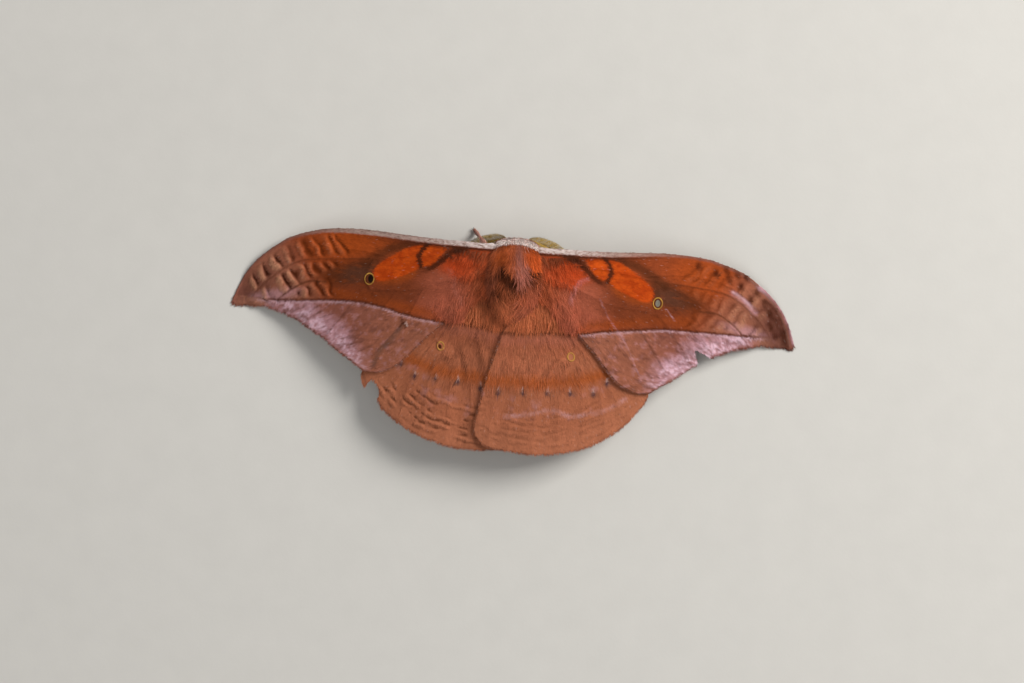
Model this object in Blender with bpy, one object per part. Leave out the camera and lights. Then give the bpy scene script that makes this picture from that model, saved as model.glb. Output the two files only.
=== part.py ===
"""A life-size male moth, Copaxa rufinans, at rest on a level surface with its wings spread.

The head is towards -Y, the wings spread along X, and +Z is up from the surface at Z = 0.
Places on the animal are given as (across, along, height): across is the distance from the
midline, along is the distance behind the front edge of the thorax, and height is over the
surface. They are in hundredths of the wingspan, so WINGSPAN drives every size. At the
animal's own size one such unit is one millimetre.
"""

import math
import random

import bmesh
import bpy
import numpy as np
from mathutils import Vector, geometry

# Driving dimensions in metres.
WINGSPAN = 0.100
UNIT = WINGSPAN / 100
GAP = 0.0003 / UNIT

# The box that holds the whole animal is centred on Y = 0 by this shift along the body.
FRONT_REACH = -2.2
REAR_REACH = 37.4
MIDDLE_ALONG = (FRONT_REACH + REAR_REACH) / 2

LEFT = 1
RIGHT = -1
SIDES = {"left": LEFT, "right": RIGHT}

# The wings form a shallow roof over the body.
WING_THICKNESS = 0.5
ROOT_ACROSS = 4.0
TIP_ACROSS = 50.0
ROOT_HEIGHT = 9.6
TIP_FALL = 9.5
FALL_POWER = 1.25
REAR_FALL_FROM = 8.0
REAR_FALL_RATE = 0.06
LAYER_STEP = 1.1
OVERLAP_REACH = 6.0
OVERLAP_FADE = 7.0

# Outline of the forewing, from the root along the leading edge to the tip and back.
FORE_COSTA = [
    (2.5, 1.9), (6.0, 1.0), (13.0, 0.6), (21.0, 0.1), (28.0, -0.2), (34.5, 0.2),
    (40.3, 2.0), (44.0, 4.5), (47.1, 7.6), (49.3, 11.6), (50.3, 14.4),
]
FORE_MARGIN = [(49.5, 15.1), (46.5, 14.9), (43.0, 15.2), (39.4, 16.3), (36.6, 18.0)]
FORE_MARGIN_WHOLE = [(34.2, 19.2)]
FORE_MARGIN_TORN = [(35.1, 17.2), (33.1, 16.0), (33.3, 17.4), (34.2, 19.2)]
FORE_REAR = [
    (31.0, 21.3), (27.6, 23.5), (25.2, 24.9), (22.6, 24.8), (20.4, 23.8),
    (17.5, 21.0), (14.5, 17.6), (11.0, 14.0), (7.0, 10.4), (2.5, 7.6),
]

# Outline of the hindwing, whose leading edge is under the forewing.
HIND_COSTA = [(1.6, 6.8), (9.0, 8.8), (15.0, 12.4), (21.0, 17.4), (25.0, 22.6)]
HIND_CORNER_WHOLE = [(25.6, 25.3), (24.3, 27.8), (21.6, 31.0)]
HIND_CORNER_TORN = [
    (25.7, 25.3), (25.7, 26.6), (25.2, 27.9), (24.1, 26.2), (22.9, 26.9),
    (22.3, 28.9), (22.4, 30.2), (21.2, 31.6),
]
HIND_MARGIN = [
    (17.6, 34.1), (14.2, 35.8), (10.7, 36.8), (5.3, 37.4), (1.7, 37.15), (-1.9, 36.7),
    (-4.1, 35.6), (-4.9, 33.4), (-4.2, 29.9), (-3.4, 24.8), (-2.3, 20.3), (-1.2, 16.4),
    (0.2, 13.0),
]

# A vein is (points from the root outwards, ridge height, half width of the ridge).
VEIN_RISE = 0.25
VEIN_HALF_WIDTH = 0.4
COSTA_RISE = 0.42
COSTA_HALF_WIDTH = 0.55
FORE_VEINS = [
    ([(2.5, 2.5), (6.0, 1.75), (13.0, 1.3), (21.0, 0.8), (28.0, 0.5), (34.3, 0.9),
      (39.8, 2.7), (43.3, 5.1), (46.4, 8.1), (48.5, 11.9)], COSTA_RISE, COSTA_HALF_WIDTH),
    ([(2.5, 3.4), (12.0, 3.1), (19.0, 3.7), (25.0, 4.9), (32.0, 4.9), (38.6, 6.3),
      (43.6, 9.8), (46.6, 13.2)], VEIN_RISE, VEIN_HALF_WIDTH),
    ([(25.0, 4.9), (29.5, 6.3), (36.3, 9.7), (39.5, 11.8), (41.9, 14.3)],
     VEIN_RISE, VEIN_HALF_WIDTH),
    ([(25.0, 4.9), (26.4, 7.2), (31.0, 10.6), (36.2, 16.6)], VEIN_RISE, VEIN_HALF_WIDTH),
    ([(2.5, 4.6), (11.0, 7.0), (18.0, 9.2), (25.3, 10.2), (28.1, 13.0), (32.2, 18.8)],
     VEIN_RISE, VEIN_HALF_WIDTH),
    ([(20.0, 9.6), (25.1, 16.3), (28.8, 21.5)], VEIN_RISE, VEIN_HALF_WIDTH),
    ([(12.0, 7.3), (16.2, 10.3), (18.8, 15.9), (23.6, 21.7), (24.6, 23.7)],
     VEIN_RISE, VEIN_HALF_WIDTH),
    ([(2.5, 6.0), (9.0, 9.9), (15.6, 16.4), (20.4, 22.3)], VEIN_RISE, VEIN_HALF_WIDTH),
]
HIND_VEINS = [
    ([(3.0, 8.8), (9.0, 11.6), (14.0, 15.8), (19.5, 22.0), (22.2, 27.6)],
     VEIN_RISE, VEIN_HALF_WIDTH),
    ([(12.6, 14.6), (16.3, 22.5), (18.0, 32.4)], VEIN_RISE, VEIN_HALF_WIDTH),
    ([(13.2, 16.0), (11.9, 19.6), (13.5, 26.0), (14.0, 34.9)], VEIN_RISE, VEIN_HALF_WIDTH),
    ([(3.0, 12.0), (6.5, 16.0), (9.0, 20.3), (9.7, 27.0), (9.6, 36.1)],
     VEIN_RISE, VEIN_HALF_WIDTH),
    ([(7.4, 17.4), (5.9, 26.0), (5.2, 36.6)], VEIN_RISE, VEIN_HALF_WIDTH),
    ([(4.6, 13.7), (2.2, 22.0), (0.9, 30.0), (0.3, 36.2)], VEIN_RISE, VEIN_HALF_WIDTH),
    ([(2.0, 12.4), (-0.2, 20.0), (-2.2, 28.0), (-2.8, 34.6)], VEIN_RISE, VEIN_HALF_WIDTH),
]
MEMBRANE_POINT_EVERY = 3.4
CURVE_POINT_EVERY = 2.4
CLEAR_OF_VEIN = 1.3
MERGE_CLOSER_THAN = 0.02
CONSTRAINED_INSIDE = 1

# Body stations are (along, half width, lowest height, highest height).
TRUNK = [
    (-0.85, 0.5, 7.7, 8.5), (-0.7, 1.9, 7.2, 9.2), (0.2, 3.3, 6.6, 10.1),
    (1.2, 4.1, 6.0, 10.8), (2.4, 4.7, 4.9, 11.3), (4.0, 5.0, 3.0, 11.7),
    (6.5, 5.1, 2.0, 11.8), (9.0, 4.9, 1.9, 11.6), (11.5, 4.2, 2.3, 10.8),
    (13.6, 3.0, 3.2, 9.8), (15.0, 1.4, 4.6, 9.0), (15.3, 0.4, 6.2, 7.6),
]
COLLAR_ENDS_ALONG = 1.1
ABDOMEN = [
    (12.0, 2.3, 2.3, 6.0), (14.5, 3.0, 1.4, 6.1), (17.5, 3.2, 1.0, 6.0),
    (21.0, 3.1, 0.9, 5.6), (25.0, 2.7, 0.9, 5.0), (28.5, 1.9, 1.1, 4.2),
    (30.3, 0.9, 1.6, 3.3), (30.6, 0.3, 2.2, 2.7),
]
ABDOMEN_SEGMENTS = 9
SEGMENT_GROOVE = 0.93
HEAD = [
    (-0.8, 0.35, 3.2, 3.8), (-0.65, 1.0, 2.5, 4.5), (0.0, 1.75, 1.9, 5.2),
    (1.2, 2.05, 1.7, 5.6), (2.4, 1.8, 1.9, 5.4), (3.4, 1.0, 2.6, 4.8), (3.6, 0.3, 3.4, 4.0),
]
BODY_SIDES = 20
TRUNK_RINGS = 22
TRUNK_READINGS = 88
SLAB_SIZE = 40.0
HEAD_RINGS = 11

# Faces that meet at more than this many degrees keep a sharp edge.
BODY_CREASE = 40
WING_CREASE = 30
BALL_CREASE = 60

# Long fur lies over the trunk in flat tapered locks that point backwards and splay outwards.
# A lock's root is sunk in the trunk, and its tip stands clear of what it lies over.
LOCK_THICKNESS = 0.5
LOCK_ROOT_DEPTH = 0.7
LOCK_LIFT = 0.45
LOCK_SHARES = (0.0, 0.3, 0.62, 0.88)
LOCK_WIDTHS = (0.8, 1.0, 0.85, 0.4)
LIFT_NEAR_ROOT = 0.6
TUFT_THINNING = 0.5
BACK_ROWS_ALONG = (3.0, 4.7, 6.4, 8.1, 9.8, 11.4)
BACK_LOCKS_A_ROW = 5
BACK_ROW_SPREAD = 3.0
BACK_LOCK_LENGTH = 3.6
SIDE_LOCK_LONGER = 0.35
BACK_LOCK_WIDTH = 1.7
BACK_SPLAY = 42.0
BACK_TURN_SPREAD = 6.0
BACK_ALONG_SPREAD = 0.2
BACK_SIZE_RANGE = (0.9, 1.1)
BACK_LIFT_RANGE = (0.8, 1.4)
FRINGE_ALONG = 12.6
FRINGE_LOCKS = 6
FRINGE_SPREAD = 2.3
FRINGE_LENGTH = 4.1
FRINGE_TURN_SPREAD = 5.0
FRINGE_LENGTH_RANGE = (0.85, 1.0)
FUR_LEAVES_TRUNK = 13.0
FUR_DROP = 0.3
FOREWING_COVERS = 5.5
COLLAR_LOCKS = 5
COLLAR_ROW_ALONG = 0.3
COLLAR_ROW_SPREAD = 1.9
COLLAR_LOCK_LENGTH = 2.3
COLLAR_LOCK_WIDTH = 1.3
COLLAR_SPLAY = 20.0
COLLAR_TURN_SPREAD = 4.0
COLLAR_LENGTH_RANGE = (0.9, 1.05)
COLLAR_LIFT_RANGE = (1.0, 1.3)
TAIL_LOCKS = 7
TAIL_ROOT_ALONG = 28.8
TAIL_TIP_ALONG = 32.3
TAIL_HEIGHT = 2.5
TAIL_ROOT_RADIUS = 0.8
TAIL_TIP_RADIUS = 0.9
TAIL_LOCK_WIDTH = 1.2
TAIL_TIP_RANGE = (-0.5, 0.3)
TUFT_BEND = 0.25
BROW_LOCKS = 3
BROW_TURN = 24.0
BROW_MIDDLE = (0.0, 1.0, 5.0)
BROW_ROOT_RADIUS = 0.9
BROW_TIP_RADIUS = 1.95
BROW_DROP = 0.8
BROW_DROP_RANGE = (0.85, 1.15)
BROW_FACE_SLOPE = 0.7
BROW_LOCK_WIDTH = 0.8
SEED = 7

EYE_RADIUS = 0.95
EYE_PLACE = (1.6, 0.8, 3.15)
EYE_RINGS = 8
EYE_SEGMENTS = 14
PALP_POINTS = [(0.45, 0.4, 2.6), (0.5, -0.3, 2.5), (0.55, -0.75, 3.0)]
PALP_RADII = [0.35, 0.33, 0.22]
PALP_SIDES = 6

# The antenna runs down from the head and out along the surface, with a comb on each side.
ANTENNA_POINTS = [
    (0.7, -0.1, 4.6), (1.8, -0.3, 4.8), (3.3, 0.2, 3.5), (4.9, 0.8, 2.2), (7.0, 1.25, 1.5),
    (9.2, 1.95, 1.1), (11.0, 2.9, 0.8),
]
ANTENNA_RADII = [0.34, 0.34, 0.33, 0.32, 0.3, 0.27, 0.2]
ANTENNA_SIDES = 6
ANTENNA_RINGS = 15
ANTENNA_READINGS = 101
COMB_TEETH = 11
COMB_FROM = 0.27
COMB_TO = 0.98
COMB_LENGTH = 2.1
COMB_SHORTEST = 0.35
COMB_SWELL_FROM = 0.12
COMB_SWELL_SPAN = 0.85
COMB_SWEEP = 0.35
COMB_DROP = 0.3
TOOTH_RADIUS = 0.25
TOOTH_TIP_RADIUS = 0.12
TOOTH_SIDES = 4
TOOTH_CLEARS_SURFACE = 0.05

# A leg runs from its root in the thorax over the knee to the shin's end, the heel and the toe.
LEGS = {
    "leg_fore_left": (LEFT, [(1.7, 3.6, 3.4), (4.4, 2.6, 5.0), (6.5, -0.3, 3.3),
                             (7.5, -1.5, 0.4), (7.95, -1.95, 0.16)]),
    "leg_fore_right": (RIGHT, [(1.7, 4.3, 3.0), (4.9, 4.4, 4.5), (7.3, 4.6, 1.7),
                               (8.2, 4.9, 0.2), (10.2, 5.6, 0.18)]),
    "leg_mid_left": (LEFT, [(1.9, 6.9, 2.9), (5.6, 7.2, 4.4), (8.8, 8.0, 1.5),
                            (9.8, 8.4, 0.2), (12.4, 9.6, 0.18)]),
    "leg_mid_right": (RIGHT, [(1.9, 7.3, 2.9), (5.5, 7.9, 4.4), (8.6, 9.0, 1.5),
                              (9.6, 9.4, 0.2), (12.1, 10.8, 0.18)]),
    "leg_hind_left": (LEFT, [(1.9, 9.6, 2.9), (5.2, 11.6, 4.2), (7.4, 14.6, 1.4),
                             (8.0, 15.6, 0.2), (9.2, 18.4, 0.18)]),
    "leg_hind_right": (RIGHT, [(1.9, 9.8, 2.9), (5.0, 12.1, 4.2), (7.1, 15.2, 1.4),
                               (7.6, 16.2, 0.2), (8.6, 19.1, 0.18)]),
}
LEG_RADII = [0.62, 0.6, 0.42, 0.34, 0.28]
LEG_SIDES = 8
LEG_POINTS = 13
# A limb counts as upright where the level part of its heading is shorter than this share.
UPRIGHT_BELOW = 0.05

# Colour and roughness of each material.
FINISHES = {
    "rufous_wing": ((0.36, 0.12, 0.05), 0.8),
    "ochre_wing": ((0.38, 0.14, 0.06), 0.8),
    "rufous_fur": ((0.30, 0.09, 0.05), 0.9),
    "grey_fur": ((0.45, 0.36, 0.34), 0.9),
    "pink_leg": ((0.40, 0.15, 0.12), 0.85),
    "olive_comb": ((0.28, 0.20, 0.08), 0.7),
    "dark_eye": ((0.02, 0.012, 0.01), 0.25),
}


def clear_scene():
    """Removes whatever the scene holds at the start."""
    for obj in list(bpy.data.objects):
        bpy.data.objects.remove(obj, do_unlink=True)


def make_materials():
    """One Principled material for each finish."""
    made = {}
    for name, (colour, roughness) in FINISHES.items():
        material = bpy.data.materials.new(name)
        material.use_nodes = True
        shader = material.node_tree.nodes["Principled BSDF"]
        shader.inputs["Base Color"].default_value = (*colour, 1.0)
        shader.inputs["Roughness"].default_value = roughness
        shader.inputs["Metallic"].default_value = 0.0
        made[name] = material
    return made


def place(across, along, height):
    """A point of the animal in metres, in the part's own frame."""
    return (across * UNIT, (along - MIDDLE_ALONG) * UNIT, height * UNIT)


def smooth_line(points, every):
    """Points about `every` apart on a smooth curve through the given points."""
    line = np.array(points, float)
    padded = np.vstack([2 * line[0] - line[1], line, 2 * line[-1] - line[-2]])
    made = []
    for i in range(len(line) - 1):
        a, b, c, d = padded[i:i + 4]
        steps = max(1, round(float(np.linalg.norm(c - b)) / every))
        for t in np.arange(steps) / steps:
            made.append(0.5 * (2 * b + (c - a) * t + (2 * a - 5 * b + 4 * c - d) * t * t
                               + (3 * b - 3 * c + d - a) * t ** 3))
    made.append(line[-1])
    return np.array(made)


def sample_line(points, count):
    """`count` points on a smooth curve through the given points, even along its parameter."""
    line = np.array(points, float)
    padded = np.vstack([2 * line[0] - line[1], line, 2 * line[-1] - line[-2]])
    made = []
    for s in np.linspace(0, len(line) - 1, count):
        i = min(int(s), len(line) - 2)
        t = s - i
        a, b, c, d = padded[i:i + 4]
        made.append(0.5 * (2 * b + (c - a) * t + (2 * a - 5 * b + 4 * c - d) * t * t
                           + (3 * b - 3 * c + d - a) * t ** 3))
    return np.array(made)


# Stations of the trunk so close together that heights can be read between them.
TRUNK_LINE = sample_line(TRUNK, TRUNK_READINGS)


def smooth_step(value):
    """0 below 0, 1 above 1 and a soft step between them."""
    value = min(1.0, max(0.0, value))
    return value * value * (3 - 2 * value)


def roof_height(across, along):
    """Height of the forewing's upper face where it has no vein."""
    out = max(0.0, (abs(across) - ROOT_ACROSS) / (TIP_ACROSS - ROOT_ACROSS))
    behind = max(0.0, along - REAR_FALL_FROM)
    return ROOT_HEIGHT - TIP_FALL * out ** FALL_POWER - REAR_FALL_RATE * behind


def forewing_height(across, along):
    """Height of the forewing's upper face, whose tip lies on the surface."""
    return max(WING_THICKNESS, roof_height(across, along))


def right_hindwing_height(across, along):
    """Height of the right hindwing's upper face, one layer under the forewing."""
    return roof_height(across, along) - LAYER_STEP


def left_hindwing_height(across, along):
    """Height of the left hindwing's upper face, a further layer down where the right one covers it."""
    covered = 1 - smooth_step((across - OVERLAP_REACH) / OVERLAP_FADE)
    return right_hindwing_height(across, along) - LAYER_STEP * covered


def new_object(name, points, faces, material):
    """A mesh object of the given faces, linked to the scene."""
    mesh = bpy.data.meshes.new(name)
    mesh.from_pydata([tuple(p) for p in points], [], faces)
    if material:
        mesh.materials.append(material)
    obj = bpy.data.objects.new(name, mesh)
    bpy.context.scene.collection.objects.link(obj)
    return obj


def shade_round(obj, degrees=BODY_CREASE):
    """Smooth shading with sharp edges only where faces meet at more than the given angle."""
    obj.data.shade_smooth()
    obj.data.set_sharp_from_angle(angle=math.radians(degrees))


def keep_largest(mesh):
    """Deletes every closed surface of the mesh but the one with the most faces."""
    work = bmesh.new()
    work.from_mesh(mesh)
    unseen = set(work.verts)
    groups = []
    while unseen:
        group = [unseen.pop()]
        for vert in group:
            for edge in vert.link_edges:
                other = edge.other_vert(vert)
                if other in unseen:
                    unseen.remove(other)
                    group.append(other)
        groups.append(group)
    groups.sort(key=lambda group: sum(len(vert.link_faces) for vert in group))
    for group in groups[:-1]:
        bmesh.ops.delete(work, geom=group, context="VERTS")
    work.to_mesh(mesh)
    work.free()


def apply_boolean(obj, operation, others):
    """Applies one Boolean of obj with the other objects, which are then removed."""
    group = bpy.data.collections.new(obj.name + "_pieces")
    bpy.context.scene.collection.children.link(group)
    for other in others:
        for owner in list(other.users_collection):
            owner.objects.unlink(other)
        group.objects.link(other)
    modifier = obj.modifiers.new(operation.lower(), "BOOLEAN")
    modifier.operation = operation
    modifier.operand_type = "COLLECTION"
    modifier.collection = group
    modifier.solver = "EXACT"
    bpy.context.view_layer.update()
    graph = bpy.context.evaluated_depsgraph_get()
    made = bpy.data.meshes.new_from_object(obj.evaluated_get(graph))
    obj.modifiers.clear()
    obj.data = made
    for other in others:
        bpy.data.objects.remove(other, do_unlink=True)
    bpy.data.collections.remove(group)
    keep_largest(made)
    return obj


def ring_tube(rings):
    """Points and faces of a closed tube through the given rings, each with the same count."""
    sides = len(rings[0])
    points = [point for ring in rings for point in ring]
    faces = []
    for row in range(len(rings) - 1):
        for k in range(sides):
            a = row * sides + k
            b = row * sides + (k + 1) % sides
            faces.append((a, b, b + sides, a + sides))
    last = (len(rings) - 1) * sides
    faces.append(tuple(range(sides))[::-1])
    faces.append(tuple(last + k for k in range(sides)))
    return points, faces


def body_rings(stations, count, grow=0.0, groove=None):
    """Rings across the body at even steps along it. grow swells them, groove scales each."""
    if grow:
        first, last = stations[0], stations[-1]
        stations = ([(first[0] - grow, *first[1:])] + stations[1:-1]
                    + [(last[0] + grow, *last[1:])])
    rings = []
    for i, (along, half, low, high) in enumerate(sample_line(stations, count)):
        scale = groove(i) if groove else 1.0
        half = half * scale + grow
        middle = (low + high) / 2
        tall = (high - low) / 2 * scale + grow
        ring = []
        for k in range(BODY_SIDES):
            angle = 2 * math.pi * k / BODY_SIDES
            ring.append(place(half * math.cos(angle), along, middle + tall * math.sin(angle)))
        rings.append(ring[::-1])
    return rings


def body_piece(name, stations, count, material, grow=0.0, groove=None):
    """A rounded length of the body, closed at both ends."""
    points, faces = ring_tube(body_rings(stations, count, grow, groove))
    obj = new_object(name, points, faces, material)
    shade_round(obj)
    return obj


def limb(name, points, radii, side, sides, material):
    """A tapered tube along a curve, pressed flat where it would go below the surface."""
    line = np.array([(side * x, y, z) for x, y, z in points], float)
    rings = []
    upwards = Vector((0, 0, 1))
    for i, centre in enumerate(line):
        ahead = Vector(line[min(i + 1, len(line) - 1)] - line[max(i - 1, 0)]).normalized()
        out = ahead.cross(upwards)
        if out.length < UPRIGHT_BELOW:
            out = ahead.cross(Vector((0, 1, 0)))
        out.normalize()
        up = out.cross(ahead).normalized()
        ring = []
        for k in range(sides):
            angle = 2 * math.pi * (k + 0.5) / sides
            spot = (Vector(centre) + out * (radii[i] * math.cos(angle))
                    + up * (radii[i] * math.sin(angle)))
            ring.append(place(spot.x, spot.y, max(0.0, spot.z)))
        rings.append(ring)
    made_points, faces = ring_tube(rings)
    obj = new_object(name, made_points, faces, material)
    shade_round(obj)
    return obj


def spread_radii(radii, count):
    """The radii read at `count` even steps from root to tip."""
    return np.interp(np.linspace(0, 1, count), np.linspace(0, 1, len(radii)), radii)


def eye_ball(name, radius, side, material):
    """A round ball at the eye's place."""
    work = bmesh.new()
    bmesh.ops.create_uvsphere(work, u_segments=EYE_SEGMENTS, v_segments=EYE_RINGS,
                              radius=radius * UNIT)
    mesh = bpy.data.meshes.new(name)
    work.to_mesh(mesh)
    work.free()
    if material:
        mesh.materials.append(material)
    obj = bpy.data.objects.new(name, mesh)
    bpy.context.scene.collection.objects.link(obj)
    obj.location = place(side * EYE_PLACE[0], EYE_PLACE[1], EYE_PLACE[2])
    shade_round(obj, BALL_CREASE)
    return obj


def side_lines(points, half_width):
    """The two lines that run along a vein at its half width."""
    line = np.array(points)
    ahead = np.gradient(line, axis=0)
    ahead /= np.linalg.norm(ahead, axis=1)[:, None]
    normal = np.stack([-ahead[:, 1], ahead[:, 0]], axis=1)
    return line + normal * half_width, line - normal * half_width


def distance_to_line(point, line):
    """Shortest distance from a point to a line of many points."""
    start, end = line[:-1], line[1:]
    run = end - start
    share = np.einsum("ij,ij->i", point - start, run) / np.einsum("ij,ij->i", run, run)
    nearest = start + run * np.clip(share, 0, 1)[:, None]
    return float(np.min(np.linalg.norm(point - nearest, axis=1)))


def inside(point, outline):
    """Whether a point lies within the outline."""
    x, y = point
    px, py = outline[:, 0], outline[:, 1]
    qx, qy = np.roll(px, -1), np.roll(py, -1)
    crosses = (py > y) != (qy > y)
    edge = px + (y - py) / np.where(qy == py, 1, qy - py) * (qx - px)
    return bool(np.count_nonzero(crosses & (x < edge)) % 2)


def wing_outline(curves):
    """A closed outline of smooth curves that meet at corners."""
    pieces = [smooth_line(curve, CURVE_POINT_EVERY)[:-1] for curve in curves]
    return np.vstack(pieces)


def wing_plan(side, outline, crests):
    """The wing from above, as points and triangles: outline, veins and membrane between them."""
    points = [tuple(p) for p in outline]
    edges = [(i, (i + 1) % len(points)) for i in range(len(points))]
    for crest, _, half in crests:
        for line in (crest, *side_lines(crest, half)):
            kept = [tuple(p) for p in line if inside(p, outline)]
            edges += [(len(points) + i, len(points) + i + 1) for i in range(len(kept) - 1)]
            points += kept
    low, high = outline.min(axis=0), outline.max(axis=0)
    row_height = MEMBRANE_POINT_EVERY * math.sqrt(3) / 2
    for row, y in enumerate(np.arange(low[1], high[1], row_height)):
        shift = MEMBRANE_POINT_EVERY / 2 * (row % 2)
        for x in np.arange(low[0] + shift, high[0], MEMBRANE_POINT_EVERY):
            spot = np.array((x, y))
            clear = min([distance_to_line(spot, np.vstack([outline, outline[:1]]))]
                        + [distance_to_line(spot, crest) for crest, _, _ in crests])
            if clear > CLEAR_OF_VEIN and inside(spot, outline):
                points.append((x, y))
    plan = [Vector((side * x, y)) for x, y in points]
    flat, _, faces, _, _, _ = geometry.delaunay_2d_cdt(plan, edges, [], CONSTRAINED_INSIDE,
                                                       MERGE_CLOSER_THAN)
    return flat, [tuple(face) for face in faces]


def vein_rise(spot, crests):
    """Height of the tallest vein ridge at a place, each falling evenly to its half width."""
    rise = 0.0
    for crest, most, half in crests:
        rise = max(rise, most * (1 - distance_to_line(spot, crest) / half))
    return rise


def wing(name, side, curves, veins, height, material):
    """A membrane of even thickness over its outline, with its veins raised in its upper face."""
    crests = [(smooth_line(points, CURVE_POINT_EVERY), rise, half)
              for points, rise, half in veins]
    flat, faces = wing_plan(side, wing_outline(curves), crests)
    top, bottom = [], []
    for spot in flat:
        across, along = side * spot.x, spot.y
        base = height(across, along)
        rise = vein_rise(np.array((across, along)), crests)
        top.append(place(spot.x, along, base + rise))
        bottom.append(place(spot.x, along, base - WING_THICKNESS))
    count = len(flat)
    ways = {(a, face[(i + 1) % len(face)]): None for face in faces for i, a in enumerate(face)}
    made = faces + [tuple(i + count for i in face[::-1]) for face in faces]
    for a, b in ways:
        if (b, a) not in ways:
            made += [(b, a, a + count), (b, a + count, b + count)]
    obj = new_object(name, top + bottom, made, material)
    work = bmesh.new()
    work.from_mesh(obj.data)
    loose = [vert for vert in work.verts if not vert.link_faces]
    bmesh.ops.delete(work, geom=loose, context="VERTS")
    work.to_mesh(obj.data)
    work.free()
    shade_round(obj, WING_CREASE)
    return obj


def trunk_clearance():
    """The trunk swollen by the gap that its neighbours keep from it."""
    return body_piece("trunk_clearance", TRUNK, TRUNK_RINGS, None, grow=GAP)


def slab(name, along, thickness):
    """A wide thin block across the body, to part it with."""
    work = bmesh.new()
    bmesh.ops.create_cube(work, size=1.0)
    mesh = bpy.data.meshes.new(name)
    for vert in work.verts:
        vert.co = Vector(place(vert.co.x * SLAB_SIZE, along + vert.co.y * thickness,
                               ROOT_HEIGHT + vert.co.z * SLAB_SIZE))
    bmesh.ops.recalc_face_normals(work, faces=work.faces)
    work.to_mesh(mesh)
    work.free()
    obj = bpy.data.objects.new(name, mesh)
    bpy.context.scene.collection.objects.link(obj)
    return obj


def trunk_top(across, along):
    """Height of the trunk's upper face, held level with its middle beyond its sides."""
    half, low, high = (float(np.interp(along, TRUNK_LINE[:, 0], TRUNK_LINE[:, i]))
                       for i in (1, 2, 3))
    share = min(1.0, abs(across) / half)
    return (low + high) / 2 + (high - low) / 2 * math.sqrt(1 - share * share)


def fur_bed(across, along):
    """Height that the back's locks lie on: the trunk, or the wings with their gap."""
    behind = max(0.0, along - FUR_LEAVES_TRUNK)
    back = trunk_top(across, min(along, FUR_LEAVES_TRUNK)) - FUR_DROP * behind
    layer = 0.0 if along < abs(across) + FOREWING_COVERS else LAYER_STEP
    wings = roof_height(across, along) - layer + COSTA_RISE
    return max(back, wings + GAP + LOCK_THICKNESS / 2)


def collar_bed(across, along):
    """Height that the collar's locks lie on: just clear of the thorax behind it."""
    return trunk_top(across, along) + GAP


def fur_lock(name, root, turn, length, width, bed, lift):
    """A flat tapered lock that starts inside the trunk and bends over its bed.

    root is its place across and along, turn its heading in degrees from straight back
    towards the left, bed gives the height of what it lies on, and lift is its tip's own
    height over that.
    """
    heading = np.array((math.sin(math.radians(turn)), math.cos(math.radians(turn))))
    sideways = np.array((heading[1], -heading[0]))
    rings = []
    for share, wide in zip(LOCK_SHARES, LOCK_WIDTHS):
        middle = np.array(root) + heading * length * share
        ring = []
        for out, up in ((-1, -1), (1, -1), (1, 1), (-1, 1)):
            across, along = middle + sideways * width * wide / 2 * out
            if share == 0:
                height = trunk_top(across, along) - LOCK_ROOT_DEPTH
            else:
                lifted = LIFT_NEAR_ROOT + (1 - LIFT_NEAR_ROOT) * share
                height = bed(across, along) + lift * lifted
            ring.append(place(across, along, height + LOCK_THICKNESS / 2 * up))
        rings.append(ring)
    across, along = np.array(root) + heading * length
    tip = place(across, along, bed(across, along) + lift)
    return closed_lock(name, rings, tip)


def closed_lock(name, rings, tip):
    """The closed mesh of a lock through rings of four corners to a sharp tip."""
    points, faces = ring_tube(rings)
    points.append(tip)
    last = len(points) - 1
    faces.pop()
    faces += [(last - 4 + k, last - 4 + (k + 1) % 4, last) for k in range(4)]
    obj = new_object(name, points, faces, None)
    work = bmesh.new()
    work.from_mesh(obj.data)
    bmesh.ops.recalc_face_normals(work, faces=work.faces)
    work.to_mesh(obj.data)
    work.free()
    return obj


def back_locks(rng):
    """Rows of locks over the back, each row half a step across from the one before it."""
    locks = []
    for row, along in enumerate(BACK_ROWS_ALONG):
        count = BACK_LOCKS_A_ROW - row % 2
        spread = BACK_ROW_SPREAD * count / BACK_LOCKS_A_ROW
        for k, across in enumerate(np.linspace(-spread, spread, count)):
            aside = across / BACK_ROW_SPREAD
            turn = BACK_SPLAY * aside + rng.uniform(-BACK_TURN_SPREAD, BACK_TURN_SPREAD)
            longer = 1 + SIDE_LOCK_LONGER * aside ** 2
            length = BACK_LOCK_LENGTH * rng.uniform(*BACK_SIZE_RANGE) * longer
            root = (across, along + rng.uniform(-BACK_ALONG_SPREAD, BACK_ALONG_SPREAD))
            width = BACK_LOCK_WIDTH * rng.uniform(*BACK_SIZE_RANGE)
            locks.append(fur_lock(f"back_{row}_{k}", root, turn, length, width, fur_bed,
                                  LOCK_LIFT * rng.uniform(*BACK_LIFT_RANGE)))
    for k, across in enumerate(np.linspace(-FRINGE_SPREAD, FRINGE_SPREAD, FRINGE_LOCKS)):
        turn = (BACK_SPLAY * across / BACK_ROW_SPREAD
                + rng.uniform(-FRINGE_TURN_SPREAD, FRINGE_TURN_SPREAD))
        locks.append(fur_lock(f"fringe_{k}", (across, FRINGE_ALONG), turn,
                              FRINGE_LENGTH * rng.uniform(*FRINGE_LENGTH_RANGE), BACK_LOCK_WIDTH,
                              fur_bed, LOCK_LIFT * rng.uniform(*BACK_LIFT_RANGE)))
    return locks


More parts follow.
